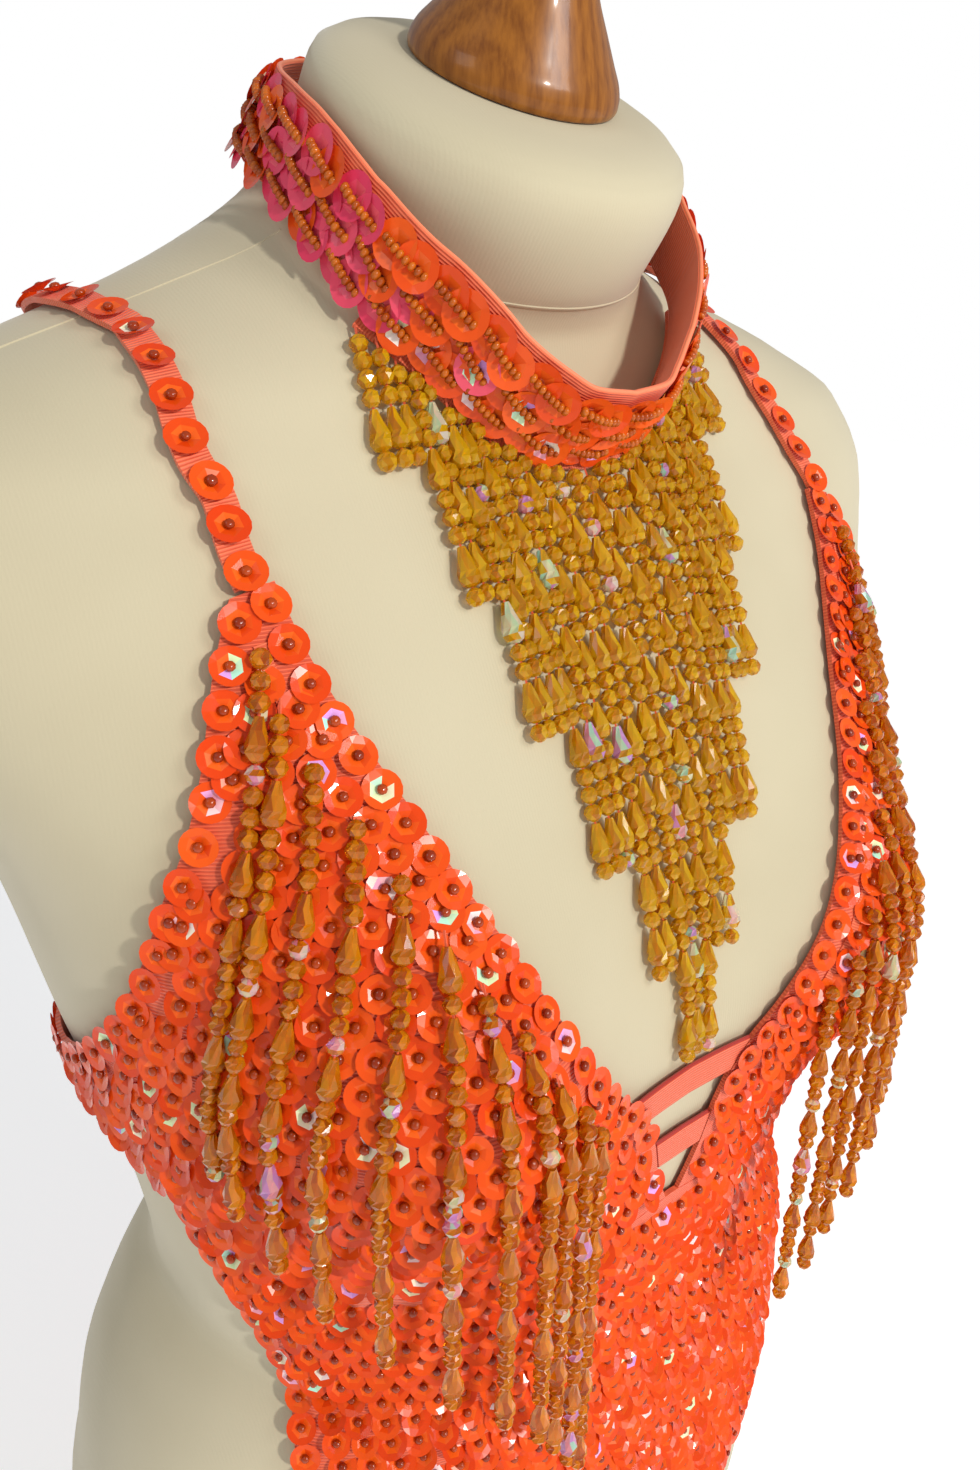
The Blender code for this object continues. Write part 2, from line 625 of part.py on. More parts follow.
def hanging_path(turn, level, lift, length=None, end_height=None, drift=0):
    """Return a strand's points and outward directions: down the slope, then free."""
    step = 1.0
    normals = [form_normal(turn, level)]
    points = [lifted(turn, level, lift)]
    free = False
    while (len(points) <= length) if length is not None else (points[-1][2] > end_height):
        free = free or form_normal(turn, level)[2] <= 0
        if free:
            points.append(points[-1] + np.array([0, 0, -step]))
            normals.append(normals[-1])
        else:
            turn, level = surface_step(turn, level, lift, step, drift)
            points.append(lifted(turn, level, lift))
            normals.append(form_normal(turn, level))
    return np.array(points), np.array(normals)


def add_strand(points, faces, corners, path, normals):
    """Add a three-sided strand that grows out of four corners of its strip's lower rim."""
    count = max(2, round((len(path) - 1) / STRAND_SEGMENT))
    picks = np.round(np.linspace(0, len(path) - 1, count + 1)).astype(int)[1:]
    along = unit(np.gradient(path, axis=0))[picks]
    side = unit(np.cross(along, normals[picks]))
    out = np.cross(side, along)
    spine, half = path[picks], STRAND_WIDTH / 2
    rings = np.stack([spine + side * half - out * STRIP_WALL / 2,
                      spine - side * half - out * STRIP_WALL / 2,
                      spine + out * STRAND_RIDGE], axis=1)
    start = len(points)
    points.extend(rings.reshape(-1, 3))
    left, right, ridge = start, start + 1, start + 2
    inner_left, inner_right, outer_right, outer_left = corners
    faces += [(left, inner_left, inner_right, right), (outer_left, inner_left, left, ridge),
              (inner_right, outer_right, ridge, right), (ridge, outer_right, outer_left)]
    for ring in range(count - 1):
        for corner in range(3):
            a = start + ring * 3 + corner
            b = start + ring * 3 + (corner + 1) % 3
            faces.append((a, b, b + 3, a + 3))
    foot = start + (count - 1) * 3
    faces.append((foot, foot + 1, foot + 2))


def make_fringe(name, roots, lift, group, length=None, end_heights=None, drifts=None):
    """A fringe: a narrow strip just off the cloth, with its strands growing out of it.

    Roots run towards the wearer's left, as turns and levels on the strip's middle."""
    drifts = [0] * len(roots) if drifts is None else drifts
    turns, levels = np.array(roots, float).T
    turns = np.concatenate([[2 * turns[0] - turns[1]], turns, [2 * turns[-1] - turns[-2]]])
    levels = np.concatenate([[2 * levels[0] - levels[1]], levels, [2 * levels[-1] - levels[-2]]])
    steps = np.linalg.norm(np.diff(form_point(turns, levels), axis=0), axis=1)
    run = np.concatenate([[0], np.cumsum(steps)])
    half = STRAND_WIDTH / 2
    columns = np.sort(np.concatenate([[run[1] - STRIP_OVERHANG, run[-2] + STRIP_OVERHANG],
                                      run[1:-1] - half, run[1:-1] + half]))
    column_turns = np.interp(columns, run, turns)
    column_levels = np.interp(columns, run, levels)
    middle = form_point(column_turns, column_levels)
    normal = form_normal(column_turns, column_levels)
    across = unit(np.cross(normal, np.gradient(middle, axis=0))) * STRIP_HEIGHT / 2
    edges = np.stack([middle - across, middle + across])
    inner, outer = edges + normal * lift, edges + normal * (lift + STRIP_WALL)
    points = list(np.concatenate([inner.reshape(-1, 3), outer.reshape(-1, 3)]))
    size, count = len(points) // 2, len(columns)
    rims = {(c, c + 1, size + c + 1, size + c) for c in range(1, count - 1, 2)}
    faces = [face for face in wall_faces(2, count) if face not in rims]
    for i in range(len(roots)):
        path, normals = hanging_path(turns[i + 1], levels[i + 1] - STRIP_HEIGHT / 2,
                                     lift + STRIP_WALL / 2, length,
                                     None if end_heights is None else end_heights[i],
                                     drifts[i])
        c = 2 * i + 1
        add_strand(points, faces, (c, c + 1, size + c + 1, size + c), path, normals)
    add_mesh(name, np.array(points), faces, "amber_beads", group)


def collar_fringe_end(place):
    """Return the height at which a strand ends, by its place from the middle."""
    for last, height in COLLAR_FRINGE_STEPS:
        if place <= last:
            return height
    return COLLAR_FRINGE_STEPS[-1][1]


def make_fringes(group):
    """The bead fringes: a stepped V below the collar, and a row along each neckline."""
    places = np.arange(-COLLAR_STRANDS_PER_SIDE, COLLAR_STRANDS_PER_SIDE + 1)
    fine = np.linspace(0, 120, 481)
    drop = smooth([row[0] for row in COLLAR_ROWS], [row[1] for row in COLLAR_ROWS])
    edge = form_point(fine, drop(fine)[:, 0])
    run = np.concatenate([[0], np.cumsum(np.linalg.norm(np.diff(edge, axis=0), axis=1))])
    turns = np.sign(places) * np.interp(np.abs(places) * COLLAR_STRAND_SPACING, run, fine)
    levels = drop(np.abs(turns))[:, 0] - COLLAR_FRINGE_DROP
    ends = [collar_fringe_end(abs(place)) for place in places]
    make_fringe("collar_fringe", list(zip(turns, levels)), COLLAR_FRINGE_LIFT, group,
                end_heights=ends)

    top = CLOTH_LIFT + CLOTH_WALL + CUP_FRINGE_GAP
    for name, side in (("cup_fringe_left", 1), ("cup_fringe_right", -1)):
        strands = CUP_STRANDS[::-side]
        roots = [(side * turn, level) for turn, level, _ in strands]
        make_fringe(name, roots, top, group, length=CUP_STRAND_LENGTH,
                    drifts=[drift for _, _, drift in strands])


def main():
    """Build the form first, then what is worn on it from the skin out."""
    clear_scene()
    parts = new_collection(COLLECTION)
    cutters = new_collection(CUTTERS)
    make_form(parts, cutters)
    make_neck_cap(parts)
    make_cups(parts)
    make_front_body(parts)
    make_back_body(parts)
    make_gusset(parts)
    make_bars(parts)
    make_strap("strap_left", STRAP_LEFT, 1, parts)
    make_strap("strap_right", STRAP_RIGHT, -1, parts)
    make_collar(parts)
    make_fringes(parts)


main()
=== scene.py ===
"""Looks for a fringed showgirl leotard with its own collar, on a limbless dress form."""

import json
import math

import bpy
import numpy as np
from mathutils import Matrix, Vector

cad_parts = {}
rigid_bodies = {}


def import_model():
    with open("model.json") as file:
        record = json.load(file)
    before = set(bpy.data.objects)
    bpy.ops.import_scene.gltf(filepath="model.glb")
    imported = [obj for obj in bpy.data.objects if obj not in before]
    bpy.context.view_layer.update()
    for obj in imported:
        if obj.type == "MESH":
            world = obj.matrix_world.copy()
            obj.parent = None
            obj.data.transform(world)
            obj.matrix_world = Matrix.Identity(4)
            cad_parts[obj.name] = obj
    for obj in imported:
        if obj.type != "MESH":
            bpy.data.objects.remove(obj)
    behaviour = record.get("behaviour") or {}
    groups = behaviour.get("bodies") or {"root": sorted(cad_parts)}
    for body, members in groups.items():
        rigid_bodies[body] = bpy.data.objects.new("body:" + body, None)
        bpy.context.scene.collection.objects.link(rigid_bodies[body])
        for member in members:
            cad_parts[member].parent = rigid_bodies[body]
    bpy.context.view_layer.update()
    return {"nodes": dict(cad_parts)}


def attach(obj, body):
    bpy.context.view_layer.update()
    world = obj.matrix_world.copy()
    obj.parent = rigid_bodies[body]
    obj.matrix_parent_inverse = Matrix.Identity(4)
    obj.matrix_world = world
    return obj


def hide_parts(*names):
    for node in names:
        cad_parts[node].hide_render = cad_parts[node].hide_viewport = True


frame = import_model()
MM = 0.001
rng = np.random.default_rng(7)

# The camera stands at the photograph's place: before the wearer's right shoulder, looking
# down. Its picture is 980 by 1470, and the focal length is in those pixels.
CAMERA_PLACE = (-0.205, -0.283, 0.6832)
CAMERA_TURN, CAMERA_RISE, CAMERA_ROLL = (math.radians(angle) for angle in (-38.0, 24.1, 0.9))
FOCAL_LENGTH, PICTURE_HEIGHT, SENSOR_HEIGHT = 1060, 1470, 36.0
back = np.array([math.sin(CAMERA_TURN) * math.cos(CAMERA_RISE),
                 -math.cos(CAMERA_TURN) * math.cos(CAMERA_RISE), math.sin(CAMERA_RISE)])
level_right = np.array([math.cos(CAMERA_TURN), math.sin(CAMERA_TURN), 0])
level_up = np.cross(back, level_right)
right = level_right * math.cos(CAMERA_ROLL) + level_up * math.sin(CAMERA_ROLL)
up = level_up * math.cos(CAMERA_ROLL) - level_right * math.sin(CAMERA_ROLL)
lens = bpy.data.cameras.new("camera")
lens.sensor_fit = "VERTICAL"
lens.sensor_height = SENSOR_HEIGHT
lens.lens = SENSOR_HEIGHT * FOCAL_LENGTH / PICTURE_HEIGHT
lens.clip_start = 0.01
camera = bpy.data.objects.new("camera", lens)
camera.matrix_world = Matrix([[*row, place] for row, place in
                              zip(np.stack([right, up, back], axis=1).tolist(), CAMERA_PLACE)]
                             + [[0, 0, 0, 1]])
bpy.context.scene.collection.objects.link(camera)
bpy.context.scene.camera = camera

# The light: a white room, and one strong lamp high up before the wearer's left side. Two soft
# lamps lift the shadows, and the floor is plain and pale.
ROOM_COLOUR, ROOM_STRENGTH, WHITE = (0.95, 0.97, 1.0, 1), 0.39, (1, 1, 1, 1)
SUN_WAY, SUN_COLOUR, SUN_STRENGTH, SUN_WIDTH = (0.12, -0.99, 0.45), (1, 0.96, 0.9), 1.7, 4
SOFT_LAMPS = (("soft_lamp_left", (-0.75, -0.15, 1.25), 0.7),
              ("soft_lamp_right", (0.35, -0.95, 1.15), 3.0))
SOFT_LAMP_SIZE, SOFT_LAMP_AIM = 0.3, (0, 0, 0.6)
FLOOR_REACH, FLOOR_DROP = 4, 0.0005
FLOOR_LOOK = {"Base Color": (0.95, 0.95, 0.95, 1), "Roughness": 0.9,
              "Emission Color": WHITE, "Emission Strength": 0.45}
scene = bpy.context.scene
scene.view_settings.view_transform = "Standard"


def feed(tree, name, values):
    """Give a node's inputs their values, or a link where one says "node: output"."""
    for socket, value in values.items():
        entry = tree.nodes[name].inputs[socket]
        if isinstance(value, str) and ": " in value:
            source, output = value.split(": ")
            output = int(output) if output.isdigit() else output
            tree.links.new(tree.nodes[source].outputs[output], entry)
        else:
            entry.default_value = value


def node(tree, name, kind, values=None, **settings):
    """Add a named node with its settings, and feed its inputs."""
    made = tree.nodes.new(kind)
    made.name = name
    for setting, value in settings.items():
        setattr(made, setting, value)
    feed(tree, name, values or {})
    return made


def new_finish(name):
    """Return a new material and its node tree."""
    made = bpy.data.materials.new(name)
    made.use_nodes = True
    return made, made.node_tree


def add_lamp(name, kind, energy, facing, place=(0, 0, 0), **settings):
    """Add a lamp that shines away from the way it faces."""
    light = bpy.data.lights.new(name, kind)
    light.energy = energy
    for setting, value in settings.items():
        setattr(light, setting, value)
    lamp = bpy.data.objects.new(name, light)
    lamp.location = place
    lamp.rotation_euler = Vector(facing).to_track_quat("Z", "Y").to_euler()
    scene.collection.objects.link(lamp)


world = bpy.data.worlds.new("white_room")
world.use_nodes = True
node(world.node_tree, "seen", "ShaderNodeBackground", {"Color": WHITE, "Strength": 1.0})
node(world.node_tree, "eye", "ShaderNodeLightPath")
feed(world.node_tree, "Background", {"Color": ROOM_COLOUR, "Strength": ROOM_STRENGTH})
node(world.node_tree, "either", "ShaderNodeMixShader",
     {0: "eye: Is Camera Ray", 1: "Background: 0", 2: "seen: 0"})
feed(world.node_tree, "World Output", {"Surface": "either: 0"})
scene.world = world
add_lamp("key_light", "SUN", SUN_STRENGTH, SUN_WAY, angle=math.radians(SUN_WIDTH),
         color=SUN_COLOUR)
for name, place, energy in SOFT_LAMPS:
    add_lamp(name, "AREA", energy, Vector(place) - Vector(SOFT_LAMP_AIM), place,
             size=SOFT_LAMP_SIZE)

floor_mesh = bpy.data.meshes.new("floor")
floor_mesh.from_pydata([(x * FLOOR_REACH, y * FLOOR_REACH, -FLOOR_DROP)
                        for x, y in ((-1, -1), (1, -1), (1, 1), (-1, 1))], [], [(0, 1, 2, 3)])
floor = bpy.data.objects.new("floor", floor_mesh)
scene.collection.objects.link(floor)
floor_paint, tree = new_finish("floor_paint")
feed(tree, "Principled BSDF", FLOOR_LOOK)
floor_mesh.materials.append(floor_paint)

# The dress form: cream jersey over padding, one smooth torso with a flat underside and an
# arched channel for the crotch. "turn" is the angle round it, "level" climbs it.
MIDDLE_Y = 7.5
FORM_SECTIONS = (
    (0, 8, 0, 0, 152, 92, 108, 2.40),
    (60, 8, 60, 0, 168, 102, 126, 2.35),
    (120, 8, 120, 0, 175, 108, 136, 2.30),
    (200, 7, 200, 0, 175, 112, 138, 2.25),
    (250, 6, 250, 0, 168, 111, 124, 2.20),
    (280, 6, 280, 0, 163, 110, 113, 2.20),
    (310, 5, 310, 0, 154, 109, 99, 2.20),
    (332, 5, 332, 0, 142, 108, 92, 2.20),
    (352, 4, 352, 0, 129, 107, 86, 2.20),
    (410, 3, 410, 0, 135, 113, 93, 2.25),
    (470, 4, 470, 0, 147, 116, 103, 2.30),
    (530, 7, 530, 0, 158, 106, 110, 2.35),
    (590, 10, 588, 2, 179, 88, 106, 2.40),
    (625, 12, 619, 4, 188, 74, 90, 2.40),
    (650, 14, 640, 6, 180, 64, 72, 2.30),
    (673, 15, 658, 9, 146, 58, 58, 2.15),
    (695, 15, 677, 15, 94, 56, 52, 2.00),
    (712, 10, 690, 22, 64, 56, 54, 2.00),
    (730, 1, 700, 26, 54, 56, 56, 2.00),
    (755, -12.5, 717, 26, 53, 55, 55, 2.00),
    (765, -15, 722.5, 26, 51, 53, 53, 2.00),
    (773, -16.5, 726, 26, 44, 46, 46, 2.00),
    (795, -17.5, 728, 26, 30, 32, 32, 2.00),
)
BUST_SIDE, BUST_HEIGHT, BUST_SWELL = 88, 475, 28
BUST_HALF_WIDTH, BUST_RISE, BUST_DROP, BUST_FALL_OFF = 44, 70, 42, 2.2
CHANNEL_MIDDLE_Y, CHANNEL_HEIGHT, CHANNEL_FLARE = 8, 35, 70
CHANNEL_FRONT_REACH, CHANNEL_BACK_REACH = 106, 134
CHANNEL_HALF_WIDTH, CHANNEL_WIDENING, CHANNEL_SQUARE = 54, 12, 4


def smooth(stations, rows):
    """Return a function that passes through a table's rows and never overshoots them."""
    x = np.asarray(stations, float)
    y = np.asarray(rows, float).reshape(len(x), -1)
    step = np.diff(x)[:, None]
    slope = np.diff(y, axis=0) / step
    tangent = np.zeros_like(y)
    before, after = slope[:-1], slope[1:]
    same_way = before * after > 0
    near = 2 * step[1:] + step[:-1]
    far = step[1:] + 2 * step[:-1]
    safe_before = np.where(same_way, before, 1)
    safe_after = np.where(same_way, after, 1)
    tangent[1:-1] = np.where(same_way, (near + far) / (near / safe_before + far / safe_after), 0)
    tangent[0], tangent[-1] = slope[0], slope[-1]

    def value(at):
        at = np.clip(np.asarray(at, float), x[0], x[-1])
        i = np.clip(np.searchsorted(x, at, side="right") - 1, 0, len(x) - 2)
        span = (x[i + 1] - x[i])[..., None]
        u = (at - x[i])[..., None] / span
        return (y[i] * (1 + 2 * u) * (1 - u) ** 2 + tangent[i] * span * u * (1 - u) ** 2
                + y[i + 1] * u ** 2 * (3 - 2 * u) + tangent[i + 1] * span * u ** 2 * (u - 1))

    return value


def curve_of(table):
    """Return a smooth function from a table of pairs."""
    at = smooth([row[0] for row in table], [row[1] for row in table])
    return lambda position: at(position)[..., 0]


def sampled(table, count):
    """Return a number of evenly spaced rows of a table, passing smoothly through its own."""
    return smooth(range(len(table)), table)(np.linspace(0, len(table) - 1, count))


form_section = smooth([row[0] for row in FORM_SECTIONS], [row[1:] for row in FORM_SECTIONS])


def form_point(turn, level):
    """Return points of the form's surface, in mm."""
    turn, level = np.broadcast_arrays(np.asarray(turn, float), np.asarray(level, float))
    centre_y, height, lean, half_width, front, rear, square = np.moveaxis(
        form_section(level), -1, 0)
    side, ahead = np.sin(np.radians(turn)), np.cos(np.radians(turn))
    depth = np.where(ahead > 0, front, rear)
    reach = (np.abs(side / half_width) ** square + np.abs(ahead / depth) ** square) ** (-1 / square)
    lean = np.radians(lean)
    x = reach * side
    y = centre_y - reach * ahead * np.cos(lean)
    z = height - reach * ahead * np.sin(lean)
    rise = z - BUST_HEIGHT
    spread = np.where(rise > 0, BUST_RISE, BUST_DROP)
    swell = BUST_SWELL * np.exp(-((np.abs(x) - BUST_SIDE) / BUST_HALF_WIDTH) ** 2
                                - np.abs(rise / spread) ** BUST_FALL_OFF)
    return np.stack([x, y - swell * np.clip(3 * ahead, 0, 1) - MIDDLE_Y, z], axis=-1)


def unit(vectors):
    """Return vectors at length one."""
    return vectors / np.linalg.norm(vectors, axis=-1, keepdims=True)


def form_slopes(turn, level, turn_step=0.2, level_step=0.4):
    """Return how the form's surface runs round it and up it, over two small steps each."""
    turn, level = np.asarray(turn), np.asarray(level)
    return (form_point(turn + turn_step, level) - form_point(turn - turn_step, level),
            form_point(turn, level + level_step) - form_point(turn, level - level_step))


def form_normal(turn, level):
    """Return the form's outward directions."""
    return unit(np.cross(*form_slopes(turn, level)))


def lifted(turn, level, lift):
    """Return points at a lift off the form, in mm."""
    return form_point(turn, level) + form_normal(turn, level) * np.asarray(lift)[..., None]


def channel_height(x, y):
    """Return the height of the channel's ceiling, in mm, from the tables' x and y."""
    reach = np.where(y < CHANNEL_MIDDLE_Y, CHANNEL_FRONT_REACH, CHANNEL_BACK_REACH)
    out = ((y - CHANNEL_MIDDLE_Y) / reach) ** 2
    half_width = CHANNEL_HALF_WIDTH + CHANNEL_WIDENING * out
    arch = np.clip(1 - np.abs(x / half_width) ** CHANNEL_SQUARE, 0, 1) ** (1 / CHANNEL_SQUARE)
    return (CHANNEL_HEIGHT + CHANNEL_FLARE * out) * arch


def tube_faces(rings, around):
    """Return the quads of a stack of rings, with both ends closed."""
    faces = []
    for r in range(rings - 1):
        for c in range(around):
            a, b = r * around + c, r * around + (c + 1) % around
            faces.append((a, b, b + around, a + around))
    faces.append(tuple(reversed(range(around))))
    faces.append(tuple((rings - 1) * around + c for c in range(around)))
    return faces


SHARP_ANGLE = 50


def on_frame(piece, slot, *replaced):
    """Let a piece ride on the frame's root body, instead of the CAD nodes that it shows. The slot
    is not used.
    """
    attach(piece, "root")
    if replaced:
        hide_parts(*replaced)


def add_piece(name, points, faces, finish, slot=None, *replaced):
    """Add a piece from points in mm, and let it ride on the frame if it has a slot."""
    mesh = bpy.data.meshes.new(name)
    mesh.from_pydata((np.asarray(points) * MM).tolist(), [], faces)
    mesh.validate()
    mesh.shade_smooth()
    mesh.set_sharp_from_angle(angle=math.radians(SHARP_ANGLE))
    mesh.materials.append(finish)
    piece = bpy.data.objects.new(name, mesh)
    scene.collection.objects.link(piece)
    if slot:
        on_frame(piece, slot, *replaced)
    return piece


def ramp(tree, name, factor, *stops):
    """Add a colour ramp from stops of a position and a colour."""
    elements = node(tree, name, "ShaderNodeValToRGB", {"Fac": factor}).color_ramp.elements
    while len(elements) < len(stops):
        elements.new(1.0)
    for element, (position, colour) in zip(elements, stops):
        element.position = position
        element.color = (*colour, 1)


jersey, tree = new_finish("cream_jersey")
node(tree, "place", "ShaderNodeTexCoord")
node(tree, "mottle", "ShaderNodeTexNoise",
     {"Vector": "place: Object", "Scale": 9.0, "Detail": 3.0})
ramp(tree, "tint", "mottle: Fac", (0.3, (0.54, 0.475, 0.315)), (0.7, (0.61, 0.545, 0.375)))
node(tree, "wales", "ShaderNodeTexWave",
     {"Vector": "place: Object", "Scale": 330, "Distortion": 1.5, "Detail": 1.0},
     wave_type="BANDS", bands_direction="X")
node(tree, "fuzz", "ShaderNodeTexNoise", {"Vector": "place: Object", "Scale": 1400})
node(tree, "knit", "ShaderNodeMath", {0: "wales: Fac", 1: 0.35, 2: "fuzz: Fac"},
     operation="MULTIPLY_ADD")
node(tree, "bump", "ShaderNodeBump", {"Height": "knit: 0", "Strength": 0.2, "Distance": 0.0002})
feed(tree, "Principled BSDF", {"Base Color": "tint: Color", "Normal": "bump: Normal",
                               "Roughness": 0.85, "Sheen Weight": 0.25, "Sheen Roughness": 0.5})

FORM_COLUMNS, FORM_ROW, FORM_TOP = 128, 5.0, 795
CUTTER_FROM, CUTTER_TO, CUTTER_STEPS, CUTTER_MARGIN = -190, 210, 41, 12
form_levels = np.arange(0, FORM_TOP + FORM_ROW / 2, FORM_ROW)
form_turns = np.arange(FORM_COLUMNS) * 360 / FORM_COLUMNS
form = add_piece("form_torso", form_point(form_turns[None, :], form_levels[:, None]).reshape(-1, 3),
                 tube_faces(len(form_levels), FORM_COLUMNS), jersey)
across = np.sin(np.linspace(-90, 90, CUTTER_STEPS) * math.pi / 180)
sections = []
for y in np.linspace(CUTTER_FROM, CUTTER_TO, CUTTER_STEPS):
    inside_y = np.clip(y, CHANNEL_MIDDLE_Y - CHANNEL_FRONT_REACH - CUTTER_MARGIN,
                       CHANNEL_MIDDLE_Y + CHANNEL_BACK_REACH + CUTTER_MARGIN)
    reach = CHANNEL_FRONT_REACH if y < CHANNEL_MIDDLE_Y else CHANNEL_BACK_REACH
    x = across * (CHANNEL_HALF_WIDTH
                  + CHANNEL_WIDENING * ((inside_y - CHANNEL_MIDDLE_Y) / reach) ** 2)
    arch = np.stack([x, np.full_like(x, y - MIDDLE_Y), channel_height(x, inside_y)], axis=-1)
    foot = np.array([[x[end], y - MIDDLE_Y, -CUTTER_MARGIN] for end in (-1, 0)])
    sections.append(np.concatenate([arch, foot]))
channel = add_piece("channel_cutter", np.concatenate(sections),
                    tube_faces(len(sections), len(sections[0])), jersey)


def settle(piece):
    """Turn a piece with a live modifier into a plain mesh."""
    shown = piece.evaluated_get(bpy.context.evaluated_depsgraph_get())
    settled = bpy.data.meshes.new_from_object(shown)
    piece.modifiers.clear()
    piece.data = settled


cut = form.modifiers.new("crotch channel", "BOOLEAN")
cut.operation, cut.solver, cut.object = "DIFFERENCE", "EXACT", channel
settle(form)
bpy.data.objects.remove(channel, do_unlink=True)
on_frame(form, "jersey", "form_body")

# The form's seams: two narrow ridges of turned jersey, round the base of the neck and along
# the top of each shoulder.
SEAM_RADIUS, SEAM_SINK = 0.5, 0.15
NECK_SEAM_LEVEL = 721
SHOULDER_SEAM = ((84, 716), (86, 700), (88, 684), (89, 668), (90, 652), (90, 636))


def tube(path, normals, radius, sides=6, closed=False):
    """Return the points and faces of a thin tube along a path."""
    ends = np.concatenate([path[-1:], path, path[:1]]) if closed else path
    along = unit(np.gradient(ends, axis=0))
    along = along[1:-1] if closed else along
    side = unit(np.cross(along, normals))
    out = np.cross(side, along)
    angles = np.arange(sides) * 2 * math.pi / sides
    rings = (path[:, None] + radius * (side[:, None] * np.cos(angles)[None, :, None]
                                       + out[:, None] * np.sin(angles)[None, :, None]))
    faces = tube_faces(len(path), sides)
    if closed:
        faces = faces[:-2]
        last = (len(path) - 1) * sides
        faces += [(last + c, last + (c + 1) % sides, (c + 1) % sides, c) for c in range(sides)]
    return rings.reshape(-1, 3), faces


def ridge(turns, levels, lift, radius, closed=False):
    """Return a thin tube that follows a line on the form, at a lift off it."""
    return tube(lifted(turns, levels, lift), form_normal(turns, levels), radius, closed=closed)


def joined(parts):
    """Join several sets of points and faces into one."""
    points, faces, start = [], [], 0
    for part_points, part_faces in parts:
        points.append(part_points)
        faces += [tuple(start + k for k in face) for face in part_faces]
        start += len(part_points)
    return np.concatenate(points), faces


RING_STEPS = 144
ring_turns = np.linspace(-180, 180, RING_STEPS + 1)[:-1]
seam_parts = [ridge(ring_turns, np.full(RING_STEPS, NECK_SEAM_LEVEL), -SEAM_SINK, SEAM_RADIUS,
                    closed=True)]
for side in (-1, 1):
    turns, levels = sampled(SHOULDER_SEAM, 50).T
    seam_parts.append(ridge(side * turns, levels, -SEAM_SINK, SEAM_RADIUS))
add_piece("form_seams", *joined(seam_parts), jersey, "jersey")

# The neck cap: hardwood turned as one finial and varnished. It stands on the neck's flat top
# and leans with it.
CAP_PROFILE = ((0, 71), (6, 70), (11.5, 66.5), (14.5, 61), (14.2, 55), (11, 49.5), (9, 44.5),
               (9.8, 38.5), (12, 31), (16, 23), (20.8, 16), (25, 10), (27.8, 6), (28.9, 3.2),
               (29.1, 1.5), (28.4, 0), (0, 0))
CAP_SIDES, CAP_RINGS, CAP_GAP, CAP_FORWARD = 72, 95, 0.3, 1
cap_top = form_section(np.array(float(FORM_TOP)))
cap_lean = math.radians(cap_top[2])
angles = np.arange(CAP_SIDES) * 2 * math.pi / CAP_SIDES
cap_rows = sampled(CAP_PROFILE, CAP_RINGS + 2)[1:-1]
rings = np.stack([cap_rows[:, :1] * np.cos(angles), cap_rows[:, :1] * np.sin(angles),
                  np.repeat(cap_rows[:, 1:], CAP_SIDES, axis=1)], axis=-1).reshape(-1, 3)[::-1]
tilt = np.array([[1, 0, 0], [0, math.cos(cap_lean), -math.sin(cap_lean)],
                 [0, math.sin(cap_lean), math.cos(cap_lean)]])
foot = np.array([0, cap_top[0] - MIDDLE_Y - CAP_FORWARD * math.cos(cap_lean)
                 - CAP_GAP * math.sin(cap_lean),
                 cap_top[1] - CAP_FORWARD * math.sin(cap_lean) + CAP_GAP * math.cos(cap_lean)])
wood, tree = new_finish("varnished_wood")
node(tree, "place", "ShaderNodeTexCoord")
node(tree, "stretch", "ShaderNodeMapping", {
    "Vector": "place: Object", "Rotation": (-cap_lean, 0.25, 0),
    "Location": (0.011, 0.004, 0), "Scale": (1, 1, 0.16)})
node(tree, "growth", "ShaderNodeTexWave", {
    "Vector": "stretch: Vector", "Scale": 70, "Distortion": 3.5, "Detail": 2.5,
    "Detail Scale": 0.8}, wave_type="RINGS", rings_direction="Z")
node(tree, "grain", "ShaderNodeTexNoise", {"Vector": "stretch: Vector", "Scale": 900, "Detail": 4})
node(tree, "both", "ShaderNodeMath", {0: "growth: Fac", 1: 0.3, 2: "grain: Fac"},
     operation="MULTIPLY_ADD")
ramp(tree, "tint", "both: 0", (0.25, (0.17, 0.048, 0.005)), (0.85, (0.33, 0.115, 0.013)))
feed(tree, "Principled BSDF", {"Base Color": "tint: Color", "Roughness": 0.34,
                               "Specular IOR Level": 0.25, "Coat Weight": 0.22,
                               "Coat Roughness": 0.1})
add_piece("turned_neck_cap", rings @ tilt.T + foot, tube_faces(len(cap_rows), CAP_SIDES), wood,
          "wood", "neck_cap")

# The leotard: coral stretch cloth with a fine rib, cut in two cups, a front, a back and a
# gusset. Each is a thin wall that lies on the form between its cut edges.
SEAM_GAP, CLOTH_LIFT, CLOTH_WALL = 0.4, 1.4, 1.6
NECKLINE = ((408, 1.5), (423, 4.5), (438, 6.5), (451, 9.0), (460, 11.8), (468, 15.5),
            (478, 19.5), (490, 23.8), (507, 28.7), (525, 33.3), (541, 37.2), (561, 41.7),
            (582, 46.7), (604, 51.7), (626, 55.9))
ARMHOLE = ((443, 90.0), (466, 90.0), (474, 85.5), (483, 80.7), (496, 75.2), (511, 70.5),
           (527, 66.8), (545, 63.7), (565, 60.7), (585, 59.4), (605, 59.1), (622, 58.8))
UNDERBUST = ((0, 408), (20, 403), (40, 404), (58, 414), (73, 433), (81, 441), (90, 443))
SIDE_SEAM_TURN, LEG_CORNER_TURN = 90, 73
CUP_TOP_INNER_LEVEL, CUP_TOP_OUTER_LEVEL = 624.5, 621
FRONT_LEG_EDGE = ((104, 17.5), (115, 19.5), (135, 24.5), (160, 31), (190, 38.5), (220, 45),
                  (250, 50.5), (280, 54.5), (312, 57.0), (338, 59.8), (356, 62.5), (380, 65.9),
                  (400, 68.8), (421, 71.8), (434, 73.0))
